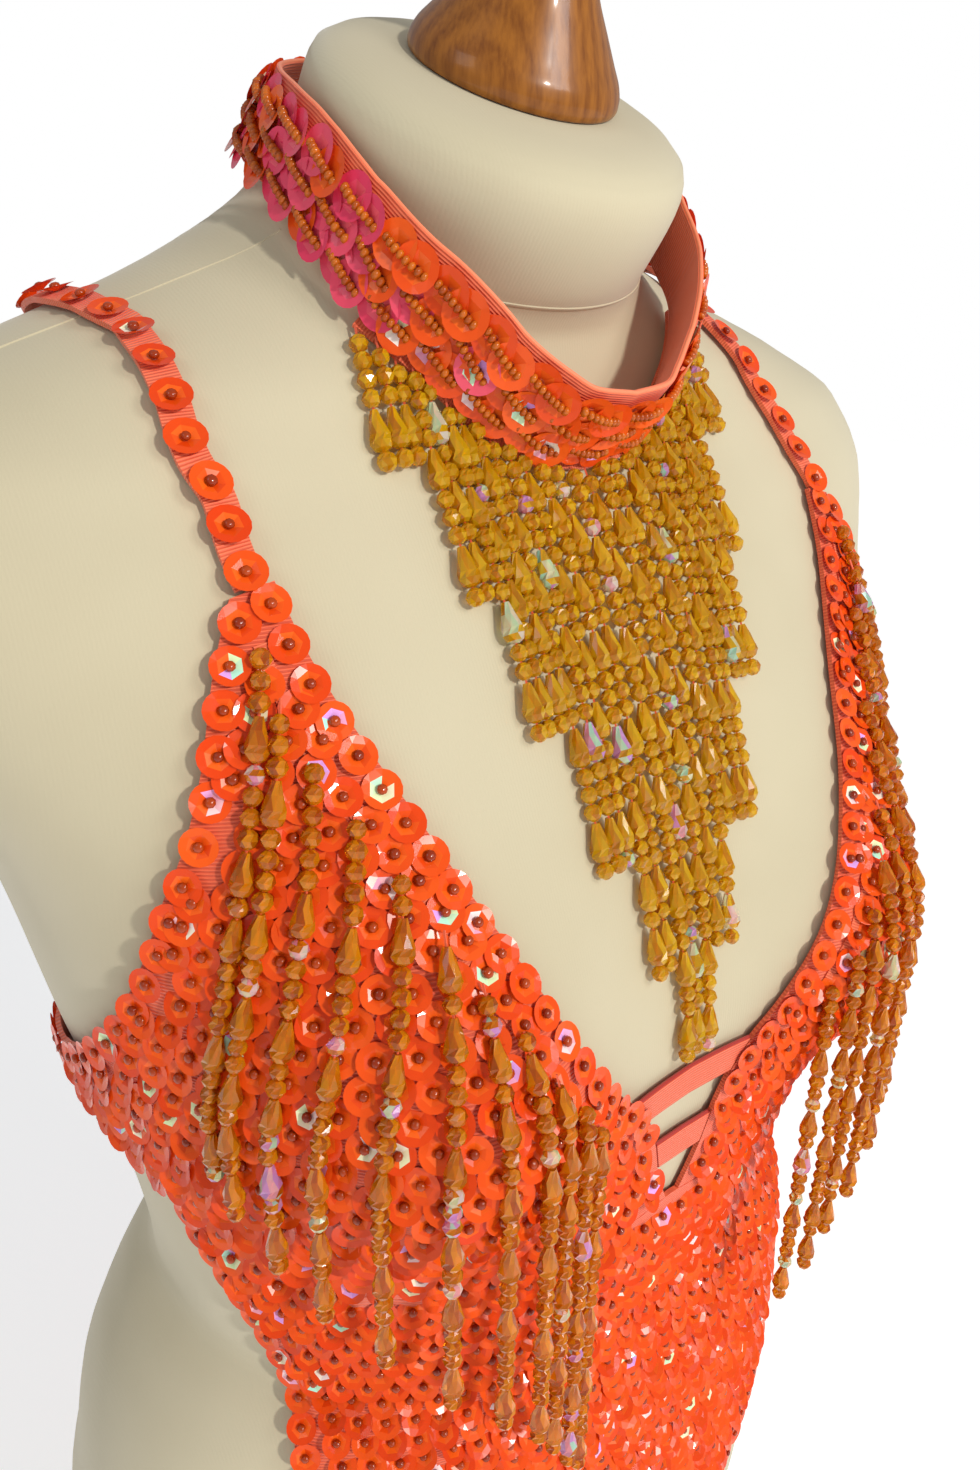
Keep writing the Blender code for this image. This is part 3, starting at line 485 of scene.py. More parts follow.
BACK_SECTIONS = (
    (90.0, 466, 438),
    (90.0, 443, 431),
    (102.0, 436, 424),
    (114.0, 427, 417),
    (126.0, 417, 410),
    (136.0, 409, 404),
    (144.0, 400, 396),
    (150.0, 386, 383),
    (154.0, 364, 363),
    (157.0, 335, 335),
    (157.3, 302, 302),
    (156.2, 270, 270),
    (153.6, 236, 236),
    (151.8, 202, 202),
    (151.5, 164, 164),
    (155.0, 130, 130),
    (160.0, 113, 113),
    (164.0, 104, 104),
)
CROTCH_REACH = 0.1
GUSSET_HALF_WIDTH, GUSSET_WIDENING, SIDE_RADIUS = 30, 5, 150
CUP_GRID, FRONT_GRID, BACK_GRID, GUSSET_GRID = (60, 54), (70, 60), (90, 60), (50, 20)

neckline_turn = curve_of(NECKLINE)
armhole_turn = curve_of(ARMHOLE)
underbust_level = curve_of(UNDERBUST)
front_leg_turn = curve_of(FRONT_LEG_EDGE)
back_section = smooth(range(len(BACK_SECTIONS)), BACK_SECTIONS)


def crotch_edge(x, ahead):
    """Return the turn, level and y where the channel's ceiling comes out of the form."""
    level = np.full(np.shape(x), 105.0)
    for _ in range(12):
        section = form_section(level)
        half_width, depth = section[..., 3], section[..., 4 if ahead else 5]
        square = section[..., 6]
        share = (1 - np.abs(x / half_width) ** square) ** (1 / square)
        y = section[..., 0] + (-1 if ahead else 1) * depth * share
        level = channel_height(x, y)
        turn = np.degrees(np.arctan2(x, section[..., 0] - y))
    return turn, level, y


def cup_grid(rows, columns):
    """Return the turns and levels of the wearer's left cup, from its lower edge up."""
    side_share = (ARMHOLE[1][0] - ARMHOLE[0][0]) / (CUP_TOP_OUTER_LEVEL - ARMHOLE[0][0])
    climb = np.concatenate([np.linspace(0, side_share, rows // 5 + 1),
                            np.linspace(side_share, 1, rows - rows // 5 + 1)[1:]])[:, None]
    inner = NECKLINE[0][0] + (CUP_TOP_INNER_LEVEL - NECKLINE[0][0]) * climb
    outer = ARMHOLE[0][0] + (CUP_TOP_OUTER_LEVEL - ARMHOLE[0][0]) * climb
    seam = np.linspace(float(neckline_turn(NECKLINE[0][0])), SIDE_SEAM_TURN, columns + 1)
    over = ((seam - seam[0]) / (seam[-1] - seam[0]))[None, :]
    first, last = neckline_turn(inner), armhole_turn(outer)
    turns = first + (last - first) * over
    straight = inner[0] + (outer[0] - inner[0]) * over
    sag = (underbust_level(seam)[None, :] - straight) * (1 - climb) ** 3
    levels = inner + (outer - inner) * over + sag
    levels[0] += SEAM_GAP / 2
    turns[:, -1] -= np.degrees(SEAM_GAP / 2 / SIDE_RADIUS)
    return turns, levels


def front_grid(rows, columns):
    """Return the turns and levels of the front body, from the crotch seam up."""
    over = np.linspace(-1, 1, columns + 1)[None, :]
    drop = np.linspace(0, 1, rows + 1)[:, None]
    edge_levels = FRONT_LEG_EDGE[-1][0] + (FRONT_LEG_EDGE[0][0] - FRONT_LEG_EDGE[-1][0]) * drop
    turns = over * front_leg_turn(edge_levels)
    foot_turn, foot_level, _ = crotch_edge(form_point(
        over[0] * front_leg_turn(FRONT_LEG_EDGE[0][0]), float(FRONT_LEG_EDGE[0][0]))[:, 0], True)
    top_level = underbust_level(np.abs(over[0]) * LEG_CORNER_TURN) - SEAM_GAP / 2
    levels = edge_levels + (top_level - edge_levels[0]) * (1 - drop) ** 2
    levels = levels + (foot_level - CROTCH_REACH - edge_levels[-1]) * drop ** 3
    turns[-1] = foot_turn
    return turns[::-1], levels[::-1]


def back_grid(rows, columns):
    """Return the turns and levels of the back, from the crotch seam up."""
    last = len(BACK_SECTIONS) - 1
    stations = np.linspace(0, last, rows + 1)
    edge_turn, edge_level, middle_level = back_section(stations).T[:, :, None]
    over = np.linspace(-1, 1, columns + 1)[None, :]
    edge_turn = edge_turn + np.where(stations[:, None] <= 1,
                                     np.degrees(SEAM_GAP / 2 / SIDE_RADIUS), 0)
    turns = 180 + over * (180 - edge_turn)
    levels = middle_level + (edge_level - middle_level) * np.abs(over) ** 3
    foot_turn, foot_level, _ = crotch_edge(form_point(turns[-1], BACK_SECTIONS[-1][1])[:, 0], False)
    levels = levels + (foot_level - CROTCH_REACH - levels[-1]) * (stations / last)[:, None] ** 6
    turns[-1] = np.where(foot_turn < 0, foot_turn + 360, foot_turn)
    return turns[::-1], levels[::-1]


def wall(inner, outer):
    """Return the points and faces of a closed wall between two grids of points."""
    rows, columns = inner.shape[:2]
    size = rows * columns
    faces = []
    for a in (r * columns + c for r in range(rows - 1) for c in range(columns - 1)):
        b, d, e = a + 1, a + columns, a + columns + 1
        faces += [(a, d, e, b), (size + a, size + b, size + e, size + d)]
    for a in range(columns - 1):
        faces.append((a, a + 1, size + a + 1, size + a))
        a += (rows - 1) * columns
        faces.append((a + 1, a, size + a, size + a + 1))
    for a in range(0, size - columns, columns):
        faces.append((a + columns, a, size + a, size + a + columns))
        a += columns - 1
        faces.append((a, a + columns, size + a + columns, size + a))
    return np.concatenate([inner.reshape(-1, 3), outer.reshape(-1, 3)]), faces


def mark_run(piece, run):
    """Keep, on every point, how far it is along the cloth in mm, for the ribs."""
    values = np.asarray(run, np.float32).ravel()
    values = np.tile(values, len(piece.data.vertices) // len(values))
    piece.data.attributes.new("run", "FLOAT", "POINT").data.foreach_set("value", values)


def sockets(group, way, *entries):
    """Give a node group its inputs or outputs: each a name, a kind and maybe a value."""
    for name, kind, *value in entries:
        socket = group.interface.new_socket(name, in_out=way, socket_type="NodeSocket" + kind)
        if value:
            socket.default_value = value[0]


def new_group(name, kind, inputs, outputs):
    """Return a new node group with its sockets, and its ends "in" and "out"."""
    group = bpy.data.node_groups.new(name, kind)
    sockets(group, "INPUT", *inputs)
    sockets(group, "OUTPUT", *outputs)
    node(group, "in", "NodeGroupInput")
    node(group, "out", "NodeGroupOutput")
    return group


ribs = new_group("fine_ribs", "ShaderNodeTree",
                 (("Pitch", "Float", 0.9), ("Depth", "Float", 0.00012)),
                 (("Normal", "Vector"), ("Rib", "Float")))
node(ribs, "run", "ShaderNodeAttribute", attribute_name="run")
node(ribs, "waves", "ShaderNodeMath", {0: "run: Fac", 1: "in: Pitch"}, operation="DIVIDE")
node(ribs, "angle", "ShaderNodeMath", {0: "waves: 0", 1: 2 * math.pi}, operation="MULTIPLY")
node(ribs, "wave", "ShaderNodeMath", {0: "angle: 0"}, operation="SINE")
node(ribs, "raised", "ShaderNodeBump",
     {"Height": "wave: 0", "Distance": "in: Depth", "Strength": 0.8})
feed(ribs, "out", {"Normal": "raised: Normal", "Rib": "wave: 0"})


def ribbed(name, light, dark, pitch):
    """Return a ribbed cloth in two close colours: the lighter on the rib crests is painted light,
    the darker in the troughs painted shade.
    """
    made, tree = new_finish(name)
    node(tree, "ribs", "ShaderNodeGroup", {"Pitch": pitch}, node_tree=ribs)
    node(tree, "half", "ShaderNodeMapRange", {"Value": "ribs: Rib", "From Min": -1})
    # The rib crests get the light colour and the troughs the dark: painted light and shade of the
    # ribs.
    node(tree, "tints", "ShaderNodeMix", {0: "half: Result", 6: (*dark, 1), 7: (*light, 1)},
         data_type="RGBA")
    feed(tree, "Principled BSDF", {"Base Color": "tints: 2", "Normal": "ribs: Normal",
                                   "Roughness": 0.55, "Sheen Weight": 0.2})
    return made


shells = {}


def add_cloth(name, label, inner, outer, cloth, slot, run):
    """Add the cloth of one CAD node, a wall between two grids, with its run for the ribs."""
    shells[name] = add_piece(name + label, *wall(inner, outer), cloth, slot, name)
    mark_run(shells[name], run)


def add_panel(name, turns, levels):
    """Add a panel of coral cloth that lies on the form."""
    add_cloth(name, "_cloth", lifted(turns, levels, CLOTH_LIFT),
              lifted(turns, levels, CLOTH_LIFT + CLOTH_WALL), coral_cloth, "coral_cloth", levels)


coral_cloth = ribbed("coral_rib", (0.98, 0.17, 0.065), (0.72, 0.085, 0.03), 1.0)
coral_ribbon = ribbed("coral_ribbon_rib", (1.0, 0.21, 0.085), (0.80, 0.11, 0.04), 0.85)
grids = {"cup_left": cup_grid(*CUP_GRID)}
grids["cup_right"] = tuple(s * a[:, ::-1] for s, a in zip((-1, 1), grids["cup_left"]))
grids["front_body"] = front_grid(*FRONT_GRID)
grids["back_body"] = back_grid(*BACK_GRID)
for name, grid in grids.items():
    add_panel(name, *grid)


def channel_lifted(x, y, lift):
    """Return points under the channel's ceiling, at a lift off it, in mm."""
    def ceiling(px, py):
        return np.stack([px, py - MIDDLE_Y, channel_height(px, py)], axis=-1)
    along = ceiling(x, y + 0.3) - ceiling(x, y - 0.3)
    over = ceiling(x + 0.3, y) - ceiling(x - 0.3, y)
    return ceiling(x, y) + unit(np.cross(along, over)) * lift


share = np.linspace(0, 1, GUSSET_GRID[0] + 1)[:, None]
over = np.linspace(-1, 1, GUSSET_GRID[1] + 1)[None, :]
x = (GUSSET_HALF_WIDTH + GUSSET_WIDENING * (2 * share - 1) ** 2) * over
front_y, back_y = crotch_edge(x[0], True)[2], crotch_edge(x[-1], False)[2]
y = (front_y - CROTCH_REACH) * (1 - share) + (back_y + CROTCH_REACH) * share
add_cloth("gusset", "_cloth", channel_lifted(x, y, CLOTH_LIFT)[::-1],
          channel_lifted(x, y, CLOTH_LIFT + CLOTH_WALL)[::-1], coral_cloth, "coral_cloth",
          (y + 0 * x)[::-1])

# The bars: two folded strips of the coral cloth across the plunge, with dark turned edges. They
# hold the neckline's edges together, low between the cups.
BARS = (("bar_upper", 451.5, 461.5), ("bar_lower", 425.5, 436.5))
BAR_GAP, BAR_RADIUS, BAR_EDGE_RADIUS = 1.3 * SEAM_GAP, 110, 0.7
BAR_GRID = (8, 24)
dark_edge = ribbed("dark_turned_edge", (0.55, 0.03, 0.02), (0.35, 0.015, 0.01), 0.7)
for name, low, high in BARS:
    levels = np.linspace(low, high, BAR_GRID[0] + 1)[:, None]
    turns = np.linspace(-1, 1, BAR_GRID[1] + 1)[None, :] * (
        neckline_turn(levels) - np.degrees(BAR_GAP / BAR_RADIUS))
    levels = levels + 0 * turns
    add_panel(name, turns, levels)
    edges = [ridge(turns[row], levels[row], CLOTH_LIFT + CLOTH_WALL / 2, BAR_EDGE_RADIUS)
             for row in (0, -1)]
    add_piece(name + "_edges", *joined(edges), dark_edge, "coral_cloth")

# The straps: eight millimetre ribbon, ribbed across, from each cup's point over the shoulder
# to the back's top edge.
STRAP_WIDTH, STRAP_ROWS, STRAP_COLUMNS, STRAP_TURN_LENGTH = 8, 160, 5, 15
STRAP_RIGHT = ((57.3, 623.8), (59.3, 634), (61.6, 647), (64, 656), (66.3, 665), (69.2, 675),
               (72.5, 681), (76.5, 685), (81, 687.5), (88, 688), (98, 685), (108, 677),
               (118, 665), (127, 648), (136, 623), (143, 590), (148, 550), (151, 500),
               (152.3, 470), (152.7, 440.7))
STRAP_LEFT = ((57.3, 623.8), (57.9, 634), (59.0, 647), (59.6, 657), (61, 668), (62.6, 677),
              (64.8, 686), (68, 693), (73, 697.5), (80, 699.5), (90, 698.5), (101, 694),
              (112, 686), (122, 673), (132, 652), (140, 624), (146, 590), (149.2, 550),
              (151.5, 500), (152.5, 470), (152.7, 440.7))


def distances(points):
    """Return how far each point of a path is from its start."""
    steps = np.linalg.norm(np.diff(points, axis=0), axis=1)
    return np.concatenate([[0], np.cumsum(steps)])


def at_run(where, run, values):
    """Return a path's values, a column each, at distances along it."""
    return np.stack([np.interp(where, run, column) for column in np.transpose(values)], -1)


strap_lines = {}
for name, route, side in (("strap_left", STRAP_LEFT, 1), ("strap_right", STRAP_RIGHT, -1)):
    fine = sampled(route, 600)
    fine[:, 0] *= side
    run = distances(lifted(*fine.T, 0))
    where = np.linspace(0, run[-1], STRAP_ROWS + 1)
    turns, levels = at_run(where, run, fine).T
    strap_lines[name] = (turns, levels, where)
    middle, out = form_point(turns, levels), form_normal(turns, levels)
    over = unit(np.cross(unit(np.gradient(middle, axis=0)), out))
    seam = form_point(side * float(armhole_turn(CUP_TOP_OUTER_LEVEL)), CUP_TOP_OUTER_LEVEL)
    seam = side * unit(seam - form_point(side * float(neckline_turn(CUP_TOP_INNER_LEVEL)),
                                         CUP_TOP_INNER_LEVEL))
    blend = np.clip(1 - where / STRAP_TURN_LENGTH, 0, 1)[:, None]
    over = unit(over * (1 - blend) + seam * blend)
    offsets = np.linspace(-0.5, 0.5, STRAP_COLUMNS)[None, :, None] * STRAP_WIDTH
    edges = middle[:, None] + over[:, None] * offsets
    add_cloth(name, "_ribbon", edges + out[:, None] * CLOTH_LIFT,
              edges + out[:, None] * (CLOTH_LIFT + CLOTH_WALL), coral_ribbon, "coral_ribbon",
              np.repeat(where, STRAP_COLUMNS))

# The collar: a stiffened satin band with a fine rib, open at the nape, where a flat hook
# closes it. Its upper edge has a thin light piping.
COLLAR_ROWS = ((0, 651, 4.5, 47, 0), (12, 653, 4.5, 47, 3), (20, 659, 4.2, 46, 7),
               (28, 668, 4, 45, 11), (36, 681, 4, 44, 14), (45, 694, 4, 42, 16),
               (52, 702, 4, 41, 17), (60, 709, 4, 40, 16), (70, 716, 4, 39, 13),
               (80, 720.5, 4, 38, 11), (90, 722.5, 4, 37, 10), (100, 722, 4, 36, 11),
               (115, 719.5, 4.5, 35, 13), (135, 717, 5, 34, 12), (180, 715, 6, 33, 0))
COLLAR_HEIGHT, COLLAR_WALL, COLLAR_OPENING, COLLAR_RADIUS = 25, 1.6, 4, 55
COLLAR_STEPS, PIPING_RADIUS = 241, 0.6
collar_row = smooth([row[0] for row in COLLAR_ROWS], [row[1:] for row in COLLAR_ROWS])
opening = np.degrees(COLLAR_OPENING / 2 / COLLAR_RADIUS)
collar_turns = np.linspace(-180 + opening, 180 - opening, COLLAR_STEPS)
collar_level, collar_off, collar_lean, collar_tuck = np.moveaxis(
    collar_row(np.abs(collar_turns)), -1, 0)
collar_low = lifted(collar_turns, collar_level, collar_off)
collar_lean, collar_tuck = np.radians(collar_lean), np.radians(collar_tuck)
collar_climb = np.stack([-np.sign(collar_low[:, 0]) * np.sin(collar_tuck),
                         -np.sin(collar_lean) * np.cos(collar_tuck),
                         np.cos(collar_lean) * np.cos(collar_tuck)], axis=-1)
collar_out = unit(np.cross(np.gradient(collar_low, axis=0), collar_climb))
heights = np.linspace(0, COLLAR_HEIGHT, 7)[:, None, None]
inner = collar_low[None] + collar_climb * heights
add_cloth("collar_band", "_satin", inner, inner + collar_out[None] * COLLAR_WALL, coral_ribbon,
          "coral_ribbon", np.repeat(heights.ravel(), COLLAR_STEPS))
piping = ribbed("light_piping", (1.0, 0.30, 0.14), (0.92, 0.20, 0.08), 1.2)
add_piece("collar_piping", *tube(collar_low + collar_climb * COLLAR_HEIGHT
                                 + collar_out * COLLAR_WALL / 2, collar_out, PIPING_RADIUS, 8),
          piping, "coral_ribbon")
hook_metal, tree = new_finish("hook_plating")
node(tree, "scuffs", "ShaderNodeTexNoise", {"Scale": 900})
ramp(tree, "tint", "scuffs: Fac", (0, (0.60, 0.48, 0.28)), (1, (0.80, 0.68, 0.44)))
feed(tree, "Principled BSDF", {"Metallic": 1, "Base Color": "tint: Color"})
frame["nodes"]["collar_hook"].data.materials.clear()
frame["nodes"]["collar_hook"].data.materials.append(hook_metal)

# What is laid by the hundred: sequins, seed beads and strung beads. Each is drawn once, and
# one node group sets it on marked points, turned and sized as they say.
laying = new_group("lay_on_points", "GeometryNodeTree",
                   (("Geometry", "Geometry"), ("Piece", "Object"), ("Finish", "Material")),
                   (("Geometry", "Geometry"),))
node(laying, "drawn", "GeometryNodeObjectInfo", {"Object": "in: Piece"})
for name in ("turned", "sized"):
    node(laying, name, "GeometryNodeInputNamedAttribute", {"Name": name},
         data_type="FLOAT_VECTOR")
node(laying, "rotation", "FunctionNodeEulerToRotation", {"Euler": "turned: Attribute"})
node(laying, "on points", "GeometryNodeInstanceOnPoints", {
    "Points": "in: Geometry", "Instance": "drawn: Geometry", "Rotation": "rotation: Rotation",
    "Scale": "sized: Attribute"})
node(laying, "realize", "GeometryNodeRealizeInstances", {"Geometry": "on points: Instances"})
node(laying, "finished", "GeometryNodeSetMaterial",
     {"Geometry": "realize: Geometry", "Material": "in: Finish"})
feed(laying, "out", {"Geometry": "finished: Geometry"})


def mark(mesh, name, domain, values):
    """Give a mesh's points or faces a number each."""
    mesh.attributes.new(name, "FLOAT", domain).data.foreach_set(
        "value", np.asarray(values, np.float32))


def lay(name, piece, finish, slot, places, outs, alongs, sizes):
    """Set a drawn piece on points in mm: its Z along outs and its X along alongs."""
    outs = unit(np.asarray(outs))
    sides = unit(np.cross(outs, alongs))
    alongs = np.cross(sides, outs)
    eulers = [tuple(Matrix(np.stack(axes, axis=1).tolist()).to_euler())
              for axes in zip(alongs, sides, outs)]
    mesh = bpy.data.meshes.new(name)
    mesh.from_pydata((np.asarray(places) * MM).tolist(), [], [])
    for attribute, values in (("turned", np.array(eulers)),
                              ("sized", np.repeat(np.asarray(sizes)[:, None], 3, axis=1))):
        mesh.attributes.new(attribute, "FLOAT_VECTOR", "POINT").data.foreach_set(
            "vector", values.astype(np.float32).ravel())
    mark(mesh, "tone", "POINT", rng.random(len(places)))
    carrier = bpy.data.objects.new(name, mesh)
    scene.collection.objects.link(carrier)
    layer = carrier.modifiers.new("laid", "NODES")
    layer.node_group = laying
    for item in laying.interface.items_tree:
        if item.name in ("Piece", "Finish"):
            layer[item.identifier] = piece if item.name == "Piece" else finish
    settle(carrier)
    carrier.data.name = name
    on_frame(carrier, slot)
    return carrier


def drawn_once(name, points, faces, facets):
    """Draw a small piece to be laid, in mm about its own middle, with its facets' numbers."""
    mesh = bpy.data.meshes.new(name)
    mesh.from_pydata((np.asarray(points) * MM).tolist(), [], faces)
    mesh.validate()
    mark(mesh, "facet", "FACE", facets)
    piece = bpy.data.objects.new(name, mesh)
    scene.collection.objects.link(piece)
    piece.hide_render = True
    return piece


# A sequin is a shallow cup ten millimetres across: a flat rim round a six-sided hollow.
SEQUIN_RINGS = ((18, 4.85, 1.15), (6, 3.2, 0.85), (6, 0.7, 0.0))
RIM_POINTS = SEQUIN_RINGS[0][0]
sequin_points = [(radius * math.cos(k * 2 * math.pi / count),
                  radius * math.sin(k * 2 * math.pi / count), height)
                 for count, radius, height in SEQUIN_RINGS for k in range(count)]
sequin_faces = []
for k in range(6):
    o = [(3 * k + j) % RIM_POINTS for j in range(4)]
    h, g = RIM_POINTS + k, RIM_POINTS + (k + 1) % 6
    sequin_faces += [(h, o[0], o[1]), (h, o[1], o[2], g), (g, o[2], o[3]), (h, g, g + 6, h + 6)]
sequin = drawn_once("sequin", sequin_points, sequin_faces,
                    [k / 24 if k % 4 == 3 else -1.0 for k in range(24)])

# Seed beads and the fringes' round and drop beads are turned shapes with eight facets, from
# tables of radius and height. Each row is half a facet round from the last.
BEAD_SIDES, FACET_STEP = 8, 0.618
SEED_PROFILE = ((0.5, -0.8), (1.05, -0.5), (1.25, 0), (1.05, 0.5), (0.5, 0.8))
ROUND_PROFILE = ((0.9, -2.35), (2.0, -1.5), (2.6, 0), (2.0, 1.5), (0.9, 2.35))
DROP_PROFILE = ((0.9, -5.6), (2.3, -4.9), (3.1, -3.2), (2.9, -1.4), (2.0, 2.0), (1.1, 5.2))


def bead(name, profile, facet_step):
    """Draw a turned bead, with its facets numbered by a step."""
    points = [(r * math.cos(a), r * math.sin(a), z) for i, (r, z) in enumerate(profile)
              for a in (np.arange(BEAD_SIDES) * 2 + i % 2) * math.pi / BEAD_SIDES]
    faces = tube_faces(len(profile), BEAD_SIDES)
    return drawn_once(name, points, faces, [k * facet_step % 1 for k in range(len(faces))])


seed = bead("seed_bead", SEED_PROFILE, 0)
round_bead = bead("round_bead", ROUND_PROFILE, FACET_STEP)
drop_bead = bead("drop_bead", DROP_PROFILE, FACET_STEP)
seed.data.shade_smooth()

# The coloured flashes are painted reflections and glints: each piece has a random tone and each
# facet its own number. A share of the pieces shows a painted flash on most of its facets, the
# colours shading into one another. Facets numbered below zero never do.
PAINTED_FLASHES = ((0.0, (0.45, 1.0, 0.85)), (0.2, (0.80, 1.0, 0.55)), (0.38, (1.0, 0.95, 0.62)),
           (0.55, (1.0, 0.88, 0.86)), (0.74, (1.0, 0.42, 0.50)), (0.9, (0.80, 0.42, 0.95)))
FACETS_PAINTED_FLASHING = 0.7
painted_flash_group = new_group("painted_flash_group", "ShaderNodeTree", (("Share", "Float", 0.3),),
                        (("Flash", "Color"), ("Mask", "Float"), ("Tint", "Float")))
for name in ("tone", "facet"):
    node(painted_flash_group, name, "ShaderNodeAttribute", attribute_name=name)
for name, operation, *terms in (
        ("piece draw", "MULTIPLY", "tone: Fac", 61.0),
        ("piece share", "FRACT", "piece draw: 0"),
        ("piece lit", "LESS_THAN", "piece share: 0", "in: Share"),
        ("facet draw", "MULTIPLY_ADD", "facet: Fac", 5.0, "piece draw: 0"),
        ("facet share", "FRACT", "facet draw: 0"),
        ("facet lit", "LESS_THAN", "facet share: 0", FACETS_PAINTED_FLASHING),
        ("may flash", "GREATER_THAN", "facet: Fac", -0.5),
        ("both lit", "MULTIPLY", "piece lit: 0", "facet lit: 0"),
        ("mask", "MULTIPLY", "both lit: 0", "may flash: 0"),
        ("half facet", "MULTIPLY", "facet: Fac", 0.45),
        ("colour draw", "MULTIPLY_ADD", "tone: Fac", 23.0, "half facet: 0"),
        ("colour", "FRACT", "colour draw: 0"),
        # The tint mixes each piece's random tone with its facets' numbers: from facet to facet it
        # goes between light and dark, a painted light and shade.
        ("tint draw", "MULTIPLY_ADD", "facet: Fac", 2.6, "tone: Fac"),
        ("tint", "PINGPONG", "tint draw: 0", 1.0)):
    node(painted_flash_group, name, "ShaderNodeMath", dict(enumerate(terms)), operation=operation)
# The flash colours are painted reflections of the pieces' coloured coating.
ramp(painted_flash_group, "flashes", "colour: 0", *PAINTED_FLASHES)
feed(painted_flash_group, "out", {"Tint": "tint: 0", "Flash": "flashes: Color", "Mask": "mask: 0"})


def gloss_with_painted_flashes(name, light, dark, share, settings):
    """Return a glossy plastic: tint at random by piece, painted light and shade by facet, and a
    painted coloured flash on some facets.
    """
    made, tree = new_finish(name)
    node(tree, "effect", "ShaderNodeGroup", {"Share": share}, node_tree=painted_flash_group)
    node(tree, "body", "ShaderNodeMix", {0: "effect: Tint", 6: (*dark, 1), 7: (*light, 1)},
         data_type="RGBA")
    node(tree, "flash", "ShaderNodeMix", {0: "effect: Mask", 6: "body: 2", 7: "effect: Flash"},
         data_type="RGBA")
    feed(tree, "Principled BSDF", {**settings, "Base Color": "flash: 2"})
    return made


SEQUIN_GLOSS = {"Roughness": 0.2, "Specular IOR Level": 0.22, "Coat Weight": 0.08,
                "Coat Roughness": 0.04}
SEED_GLOSS = {"Roughness": 0.18, "Specular IOR Level": 0.4, "Coat Weight": 0.1}
BEAD_GLOSS = {"Roughness": 0.06, "Transmission Weight": 0.55, "IOR": 1.4, "Coat Weight": 0.12,
              "Coat Roughness": 0.02}
# Each finish's light and dark colours span its pieces' random tone and the painted light and shade
# of their facets.
sequin_gloss = gloss_with_painted_flashes("coral_sequin", (1.0, 0.145, 0.012), (0.80, 0.055, 0.004), 0.08,
                        SEQUIN_GLOSS)
collar_gloss = gloss_with_painted_flashes("coral_collar_sequin", (1.0, 0.16, 0.016), (0.86, 0.075, 0.008), 0.12,
                        SEQUIN_GLOSS)
# This finish's pink is a painted reflection, laid on sequins that face the wearer's right.
painted_pink_reflection = gloss_with_painted_flashes("painted_pink_reflection_sequin", (1.0, 0.15, 0.20), (0.84, 0.05, 0.13), 0.1,
                     SEQUIN_GLOSS)
red_bead = gloss_with_painted_flashes("red_bead", (0.46, 0.055, 0.003), (0.26, 0.022, 0.002), 0, SEED_GLOSS)
copper_bead = gloss_with_painted_flashes("copper_bead", (0.64, 0.15, 0.008), (0.40, 0.06, 0.003), 0, SEED_GLOSS)
amber = gloss_with_painted_flashes("amber_bead", (1.0, 0.62, 0.012), (0.66, 0.25, 0.001), 0.05, BEAD_GLOSS)
# The cup fringe's amber is deeper orange partly as painted light: the coral cloth behind, seen
# through the beads.
amber_with_painted_coral = gloss_with_painted_flashes("amber_bead_with_painted_coral", (1.0, 0.40, 0.008), (0.48, 0.10, 0.001), 0.07,
                      BEAD_GLOSS)

# The leotard's sequins lie in level rows all round, half a step apart from row to row, each
# leaning over the one below. A closer row follows every free edge.
ROW_PITCH, SEQUIN_PITCH, EDGE_INSET, EDGE_ROW_PITCH = 7.4, 8.6, 3.3, 9.8
LATTICE_CLEAR, BORDER_CLEAR = 6.6, 2.0
SIDE_ROWS, NECK_LEVEL, SEAT_LEVEL, FINE_TURN = 12, 440, 443.5, 0.25
SMALL_STEP = 0.1
SEQUIN_LIFT, SEED_LIFT = CLOTH_LIFT + CLOTH_WALL + 0.5, 1.1
PLACE_SPREAD, SEQUIN_SPREAD, SEED_SIZE, SEED_SPREAD = (0.15, 0.4), 0.03, 1.12, 0.05


def border_of(turns, levels):
    """Return a grid's border as a closed line of turns and levels."""
    grid = np.stack([turns, levels], -1)
    return np.concatenate([grid[0], grid[1:, -1], grid[-1, -2::-1], grid[-2:0:-1, 0]])


def within(spots, line):
    """Return which spots lie inside a closed line of turns and levels."""
    a, b = line, np.roll(line, -1, axis=0)
    across, up_to = spots[:, None, 0], spots[:, None, 1]
    straddles = (a[None, :, 1] > up_to) != (b[None, :, 1] > up_to)
    rise = np.where(b[:, 1] == a[:, 1], 1e-9, b[:, 1] - a[:, 1])
    cross = a[None, :, 0] + (up_to - a[None, :, 1]) * ((b - a)[None, :, 0] / rise[None])
    return (straddles & (across < cross)).sum(axis=1) % 2 == 1


def distance_to(spots, line):
    """Return how far each spot is from a line on the form's surface, in mm."""
    points, path = form_point(*spots.T), form_point(*line.T)
    a, ab = path[:-1], np.diff(path, axis=0)
    share = ((points[:, None] - a[None]) * ab[None]).sum(-1) / ((ab ** 2).sum(-1)[None] + 1e-12)
    nearest = a[None] + np.clip(share, 0, 1)[..., None] * ab[None]
    return np.linalg.norm(points[:, None] - nearest, axis=-1).min(axis=1)


def moved_by(spots, steps):
    """Return spots moved over the form's surface by steps in mm."""
    turns, levels = spots.T
    by_turn, by_level = (slope / (2 * SMALL_STEP) for slope in
                         form_slopes(turns, levels, SMALL_STEP, SMALL_STEP))
    tt, tl, ll = ((a * b).sum(-1) for a, b in ((by_turn, by_turn), (by_turn, by_level),
                                               (by_level, by_level)))
    t, l = (steps * by_turn).sum(-1), (steps * by_level).sum(-1)
    size = tt * ll - tl * tl
    return spots + np.stack([(ll * t - tl * l) / size, (tt * l - tl * t) / size], -1)


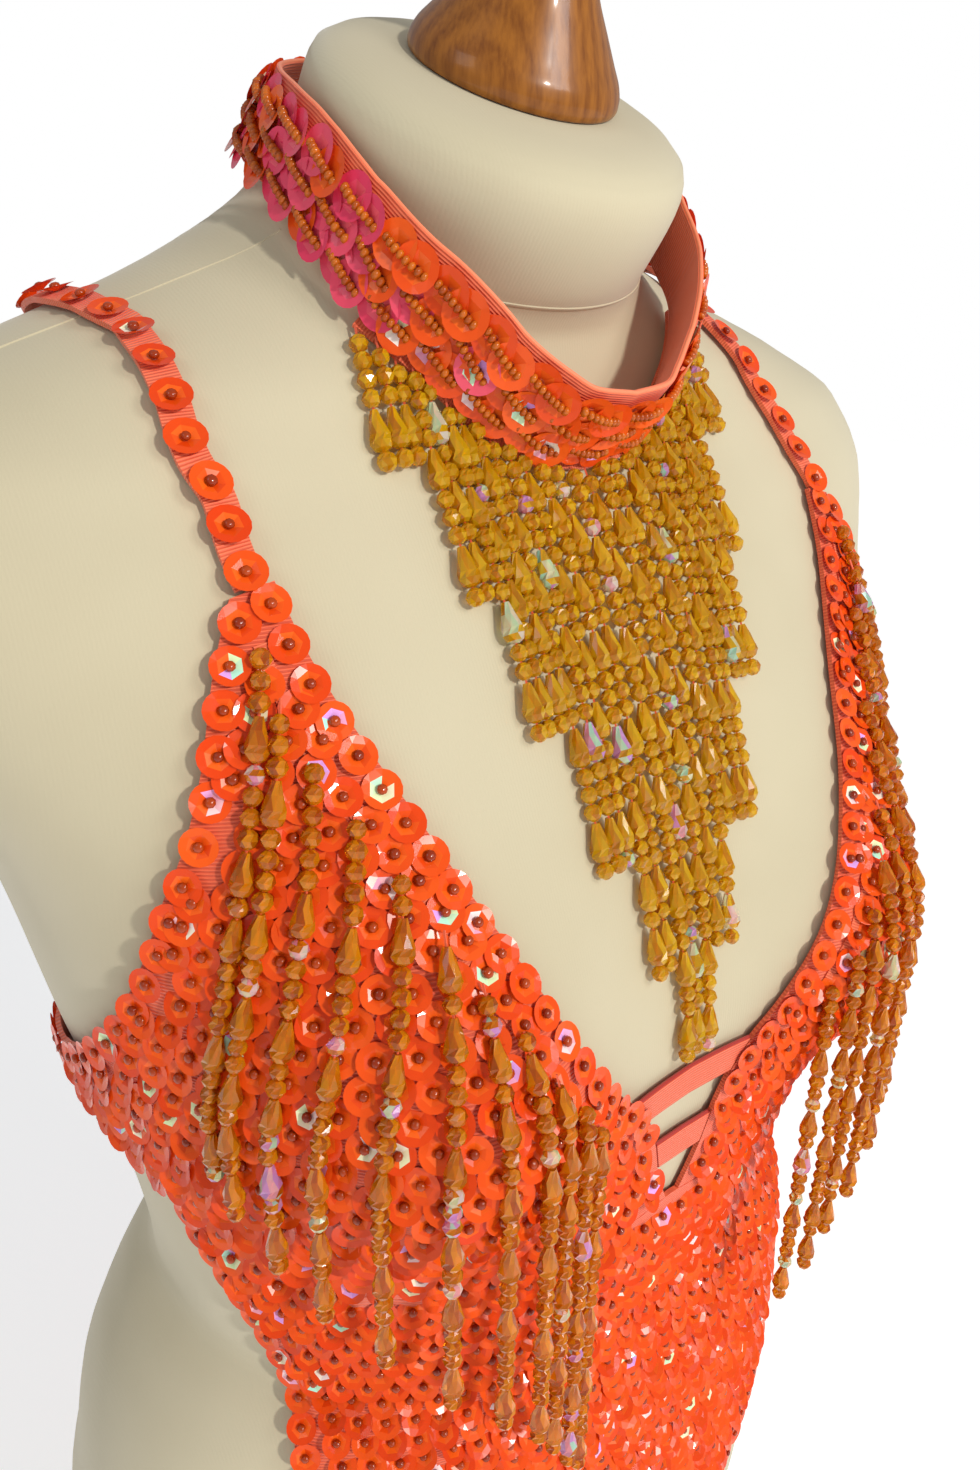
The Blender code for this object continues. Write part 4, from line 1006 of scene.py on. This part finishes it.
cup, front, rear = (np.stack(grids[name], -1) for name in ("cup_left", "front_body", "back_body"))
seat = rear[:, 0, 1] <= SEAT_LEVEL
free_edges = {
    "cup_left": [cup[cup[:, 0, 1] > NECK_LEVEL, 0], cup[SIDE_ROWS:, -1],
                 cup[0, cup[0, :, 0] > LEG_CORNER_TURN]],
    "front_body": [front[:, -1], front[:, 0]],
    "back_body": [rear[-1], rear[seat, 0], rear[seat, -1]],
}
free_edges["cup_right"] = [line * (-1, 1) for line in free_edges["cup_left"]]


def sequins_on(name):
    """Return where the sequins of one panel lie: turns, levels and whether on an edge row."""
    turns, levels = grids[name]
    border = border_of(turns, levels)
    fine = np.arange(turns.min(), turns.max(), FINE_TURN)
    lattice = []
    for index in range(int(levels.min() / ROW_PITCH), int(levels.max() / ROW_PITCH) + 1):
        run = distances(form_point(fine, index * ROW_PITCH))
        at = np.interp(np.arange(SEQUIN_PITCH / 2 * (index % 2), run[-1], SEQUIN_PITCH), run, fine)
        lattice.append(np.stack([at, np.full(len(at), index * ROW_PITCH)], -1))
    lattice = np.concatenate(lattice)
    lattice = lattice + rng.normal(0, PLACE_SPREAD, lattice.shape)
    lattice = lattice[within(lattice, border)]
    keep = distance_to(lattice, np.concatenate([border, border[:1]])) > BORDER_CLEAR
    for line in free_edges[name]:
        keep &= distance_to(lattice, line) > LATTICE_CLEAR
    spots, on_edge = [lattice[keep]], [np.zeros(keep.sum())]
    for line in free_edges[name]:
        path = form_point(*line.T)
        run = distances(path)
        if run[-1] < EDGE_ROW_PITCH:
            continue
        where = np.linspace(0, run[-1], max(2, round(run[-1] / EDGE_ROW_PITCH)) + 1)
        where = (where[1:] + where[:-1]) / 2
        at = at_run(where, run, line)
        ahead = unit(at_run(where + 1, run, path) - at_run(where - 1, run, path))
        sideways = np.cross(form_normal(*at.T), ahead)
        for way in (1, -1):
            moved = moved_by(at, sideways * EDGE_INSET * way)
            moved = moved[within(moved, border)]
            spots.append(moved)
            on_edge.append(np.ones(len(moved)))
    spots = np.concatenate(spots)
    return spots[:, 0], spots[:, 1], np.concatenate(on_edge) > 0


# Low on the body the sequins lean more and lie less evenly. Each is held by a red seed bead.
LOOSE_BELOW, LOOSE_OVER = 540, 110
LEAN, LEAN_SPREAD, LOOSE_LEAN, LOOSE_LEAN_SPREAD = 8, 3, 12, 1.2
SWAY_SPREAD, LOOSE_SWAY_SPREAD = 4, 1.6
for name in ("cup_left", "cup_right", "front_body", "back_body"):
    turns, levels, on_edge = sequins_on(name)
    out = form_normal(turns, levels)
    around = unit(form_slopes(turns, levels)[0])
    climb = np.cross(out, around)
    loose = np.clip((LOOSE_BELOW - levels) / LOOSE_OVER, 0, 1) * ~on_edge
    lean = rng.normal(LEAN, LEAN_SPREAD, len(turns)) * (1 + LOOSE_LEAN_SPREAD * loose)
    lean = np.radians(lean + LOOSE_LEAN * loose)[:, None]
    sway = np.radians(rng.normal(0, SWAY_SPREAD, len(turns))
                      * (1 + LOOSE_SWAY_SPREAD * loose))[:, None]
    facing = unit(out * np.cos(lean) + climb * np.sin(lean) + around * np.sin(sway))
    spin = rng.uniform(0, 2 * math.pi, len(turns))[:, None]
    spun = around * np.cos(spin) + climb * np.sin(spin)
    places = lifted(turns, levels, SEQUIN_LIFT)
    lay(name + "_sequins", sequin, sequin_gloss, "coral_cloth", places, facing, spun,
            rng.normal(1, SEQUIN_SPREAD, len(turns)))
    lay(name + "_seeds", seed, red_bead, "coral_cloth", places + facing * SEED_LIFT, facing,
            spun, rng.normal(SEED_SIZE, SEED_SPREAD, len(turns)))

# The straps carry one row of sequins, each with a seed bead. On straps and collar, part of the
# sequins that face the wearer's right are pink: a painted reflection, chosen by the way they face.
STRAP_SEQUIN_PITCH, STRAP_SEQUIN_LIFT, STRAP_MARGIN = 11.2, SEQUIN_LIFT - 0.2, 3
STRAP_SEQUIN_SIZE, STRAP_SEQUIN_SPREAD, STRAP_SWAY_SPREAD = 1.04, 0.02, 6
PAINTED_PINK_FROM, PAINTED_PINK_SHARE = 0.58, 2.0


def lay_discs(name, finish, places, facings, alongs, sizes):
    """Lay sequins on a ribbon, with a painted pink reflection on part of those that face the right.
    """
    facings = unit(np.asarray(facings))
    painted_pink = (-facings[:, 0] - PAINTED_PINK_FROM) * PAINTED_PINK_SHARE > rng.random(len(facings))
    return [lay(name + label, sequin, look, "coral_ribbon", *(
                np.asarray(values)[chosen] for values in (places, facings, alongs, sizes)))
            for label, look, chosen in (("_sequins", finish, ~painted_pink),
                                        ("_pink_sequins", painted_pink_reflection, painted_pink)) if chosen.any()]


for name, (turns, levels, run) in strap_lines.items():
    where = np.arange(STRAP_MARGIN, run[-1] - STRAP_MARGIN, STRAP_SEQUIN_PITCH)
    turns, levels = at_run(where, run, np.stack([turns, levels], -1)).T
    out = form_normal(turns, levels)
    ahead = unit(np.gradient(form_point(turns, levels), axis=0))
    lean, sway = (np.radians(rng.normal(middle, spread, len(turns)))[:, None]
                  for middle, spread in ((LEAN, LEAN_SPREAD), (0, STRAP_SWAY_SPREAD)))
    facing = unit(out * np.cos(lean) + ahead * np.sin(lean) + np.cross(out, ahead) * np.sin(sway))
    places = lifted(turns, levels, STRAP_SEQUIN_LIFT)
    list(lay_discs(name, sequin_gloss, places, facing, ahead,
                   rng.normal(STRAP_SEQUIN_SIZE, STRAP_SEQUIN_SPREAD, len(turns))))
    lay(name + "_seeds", seed, red_bead, "coral_ribbon", places + facing * SEED_LIFT, facing,
            ahead, rng.normal(SEED_SIZE, SEED_SPREAD, len(turns)))

# The collar's bead work: three rows of groups in brick order. A group is two sequins, one
# over the other, held down by a short string of seed beads.
GROUP_PITCH, GROUP_ROWS, GROUP_SHIFT, GROUP_MARGIN = 15.4, (3.6, 10.8, 18.0), 5.0, (6, 5)
GROUP_SPREAD, STRING_BEADS, STRING_STEP, STRING_TILT = 3.4, 8, 1.7, -0.16
GROUP_LIFT, OVERLAP_LIFT, STRING_LIFT, STRING_ARCH = 0.5, 0.7, 2.0, 1.0
COLLAR_SEQUIN_SIZE, COLLAR_SEED_SIZE, TILT_SPREAD = 1.24, 1.08, 0.08
GROUP_LEAN, GROUP_LEAN_SPREAD, GROUP_TURN, GROUP_TURN_SPREAD = 0.12, 0.08, 0.10, 0.05
collar_run = distances(collar_low + collar_climb * COLLAR_HEIGHT / 2)


def on_band(where, height, off):
    """Return a place off the band's outer face, its outward and its climbing direction."""
    low_point, out_way, climb_way = (at_run(where, collar_run, values)
                                     for values in (collar_low, collar_out, collar_climb))
    out_way, climb_way = unit(out_way), unit(climb_way)
    return low_point + climb_way * height + out_way * (COLLAR_WALL + off), out_way, climb_way


sequin_rows, bead_rows = [], []
for row, height in enumerate(GROUP_ROWS):
    for where in np.arange(GROUP_MARGIN[0] + row * GROUP_SHIFT, collar_run[-1] - GROUP_MARGIN[1],
                           GROUP_PITCH):
        slope = STRING_TILT + rng.normal(0, TILT_SPREAD)
        ahead = unit(on_band(where + 1, height, -COLLAR_WALL)[0]
                     - on_band(where - 1, height, -COLLAR_WALL)[0])
        for along, lift in ((-GROUP_SPREAD, GROUP_LIFT),
                            (GROUP_SPREAD, GROUP_LIFT + OVERLAP_LIFT)):
            spot, out_way, climb_way = on_band(where + along, height + along * slope, lift)
            facing = unit(out_way + climb_way * rng.normal(GROUP_LEAN, GROUP_LEAN_SPREAD)
                          - ahead * rng.normal(GROUP_TURN, GROUP_TURN_SPREAD))
            sequin_rows.append((spot, facing, ahead))
        for k in range(STRING_BEADS):
            along = (k - (STRING_BEADS - 1) / 2) * STRING_STEP
            arch = STRING_ARCH * (1 - (2 * along / (STRING_BEADS * STRING_STEP)) ** 2)
            spot, out_way, _ = on_band(where + along, height + along * slope, STRING_LIFT + arch)
            bead_rows.append((spot, ahead, out_way))
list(lay_discs("collar_band", collar_gloss, *map(np.array, zip(*sequin_rows)),
               rng.normal(COLLAR_SEQUIN_SIZE, SEQUIN_SPREAD, len(sequin_rows))))
lay("collar_band_seeds", seed, copper_bead, "coral_ribbon", *map(np.array, zip(*bead_rows)),
        rng.normal(COLLAR_SEED_SIZE, SEED_SPREAD, len(bead_rows)))

# The fringes: strands of faceted round and drop beads on a thread, sewn to a narrow tape. A
# strand lies on the slope under it and hangs free once that turns inwards. Under the collar
# the strands end at stepped heights, longest in the middle. On the cups all are as long.
STRIP_HEIGHT, STRIP_WALL = 3.2, 2.4
COLLAR_FRINGE_LIFT, CUP_FRINGE_GAP = 1.5, 1.2
COLLAR_STRANDS_PER_SIDE, COLLAR_STRAND_SPACING, COLLAR_FRINGE_DROP = 14, 5.2, 4.5
COLLAR_FRINGE_STEPS = ((1, 467), (3, 499), (6, 533), (9, 571), (11, 604), (14, 636))
CUP_STRAND_LENGTH = 140
CUP_STRANDS = ((56.0, 609, 0.18), (54.2, 597, 0.17), (51.3, 580.5, 0.15), (48.0, 566.5, 0.13),
               (44.6, 552, 0.10), (41.6, 538.5, 0.05), (38.8, 525.5, 0.02), (35.7, 513, 0),
               (32.4, 500.5, 0), (28.9, 488.5, 0), (25.0, 476.5, 0))
ROUND_LENGTH, DROP_LENGTH, ROUND_SPREAD, DROP_SPREAD = 4.9, 11.4, 0.03, 0.02
THREAD_RADIUS, MOST_ROUNDS = 0.35, 4
STRAND_STEP, STRAND_SHIFTS, ROOT_OVERLAP = 1.0, (-0.1, 0.7), 1.5
TAPE_GAP, TAPE_WALL, CUP_STRAND_LIFT = 0.1, 0.5, 1.0


def surface_step(turn, level, lift, drift):
    """Slide down a lifted surface by one step, on its steepest line but for the drift."""
    here = lifted(turn, level, lift)
    by_turn = lifted(turn + SMALL_STEP, level, lift) - here
    by_level = lifted(turn, level + SMALL_STEP, lift) - here
    normal = form_normal(turn, level)
    fall = np.array([0.0, 0.0, -1.0])
    fall = unit(fall - normal * fall.dot(normal))
    fall = unit(fall + np.cross(fall, normal) * drift * -np.sign(turn)) * STRAND_STEP
    moves, *_ = np.linalg.lstsq(np.stack([by_turn, by_level], axis=1), fall, rcond=None)
    return turn + moves[0] * SMALL_STEP, level + moves[1] * SMALL_STEP


def hanging_path(turn, level, lift, length=None, end_height=None, drift=0):
    """Return a strand's points and outward directions: down the slope, then free."""
    normals, points = [form_normal(turn, level)], [lifted(turn, level, lift)]
    free = False
    while (len(points) <= length) if length is not None else (points[-1][2] > end_height):
        free = free or form_normal(turn, level)[2] <= 0
        if free:
            points.append(points[-1] + np.array([0, 0, -STRAND_STEP]))
            normals.append(normals[-1])
        else:
            turn, level = surface_step(turn, level, lift, drift)
            points.append(lifted(turn, level, lift))
            normals.append(form_normal(turn, level))
    return np.array(points), np.array(normals)


def make_fringe(name, strands, lift, finish):
    """String a fringe's beads from the lowest up, so that every strand ends in a drop."""
    rounds, drops, threads = [], [], []
    for i, strand in enumerate(strands):
        path, normals = hanging_path(lift=lift, **strand)
        path = path + normals * STRAND_SHIFTS[i % 2]
        run = distances(path)
        along = unit(np.gradient(path, axis=0))
        threads.append(tube(path[::4], normals[::4], THREAD_RADIUS, 4))
        where, kinds = run[-1], ["round", "drop"]
        while True:
            if not kinds:
                kinds = ["round"] * int(rng.integers(1, MOST_ROUNDS + 1)) + ["drop"]
            is_drop = kinds.pop(0) == "drop" and where >= DROP_LENGTH
            length = DROP_LENGTH if is_drop else ROUND_LENGTH
            if where - length < -ROOT_OVERLAP:
                break
            middle = where - length / 2
            at = min(int(round(middle)), len(path) - 1)
            turned_by = rng.uniform(0, 2 * math.pi)
            side = unit(np.cross(along[at], normals[at]))
            spin = side * math.cos(turned_by) + normals[at] * math.sin(turned_by)
            (drops if is_drop else rounds).append((at_run(middle, run, path), -along[at], spin))
            where -= length
    layers = [lay(name + label, piece, finish, "amber_beads", *map(np.array, zip(*beads)),
                  rng.normal(1, spread, len(beads)))
              for label, piece, beads, spread in (("_rounds", round_bead, rounds, ROUND_SPREAD),
                                                  ("_drops", drop_bead, drops, DROP_SPREAD))]
    add_piece(name + "_threads", *joined(threads), coral_cloth, "amber_beads")
    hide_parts(name)


def add_tape(name, turns, levels, lift, thick):
    """Add the narrow tape that a fringe is sewn to."""
    middle, out = form_point(turns, levels), form_normal(turns, levels)
    over = unit(np.cross(out, np.gradient(middle, axis=0))) * STRIP_HEIGHT / 2
    edges = np.stack([middle - over, middle + over])
    piece = add_piece(name + "_tape", *wall(edges + out * lift, edges + out * (lift + thick)),
                      coral_ribbon, "amber_beads")
    mark_run(piece, np.tile(distances(middle), 2))


places = np.arange(-COLLAR_STRANDS_PER_SIDE, COLLAR_STRANDS_PER_SIDE + 1)
fine = np.linspace(0, 120, 481)
run = distances(form_point(fine, collar_row(fine)[:, 0]))
turns = np.sign(places) * np.interp(np.abs(places) * COLLAR_STRAND_SPACING, run, fine)
levels = collar_row(np.abs(turns))[:, 0] - COLLAR_FRINGE_DROP
ends = [next(height for last, height in COLLAR_FRINGE_STEPS if abs(place) <= last)
        for place in places]
make_fringe("collar_fringe", [
    {"turn": turn, "level": level - STRIP_HEIGHT / 2, "end_height": end}
    for turn, level, end in zip(turns, levels, ends)],
    COLLAR_FRINGE_LIFT + STRIP_WALL / 2, amber)
add_tape("collar_fringe", turns, levels, COLLAR_FRINGE_LIFT, STRIP_WALL / 2)

cup_top = CLOTH_LIFT + CLOTH_WALL
for name, side in (("cup_fringe_left", 1), ("cup_fringe_right", -1)):
    turns, levels, drifts = np.array(CUP_STRANDS[::-side], float).T
    make_fringe(name, [
        {"turn": turn, "level": level - STRIP_HEIGHT / 2, "length": CUP_STRAND_LENGTH,
         "drift": drift} for turn, level, drift in zip(side * turns, levels, drifts)],
        cup_top + CUP_FRINGE_GAP + STRIP_WALL / 2 + CUP_STRAND_LIFT, amber_with_painted_coral)
    add_tape(name, side * turns, levels, cup_top + TAPE_GAP, TAPE_WALL)

for piece in (sequin, seed, round_bead, drop_bead):
    bpy.data.objects.remove(piece, do_unlink=True)
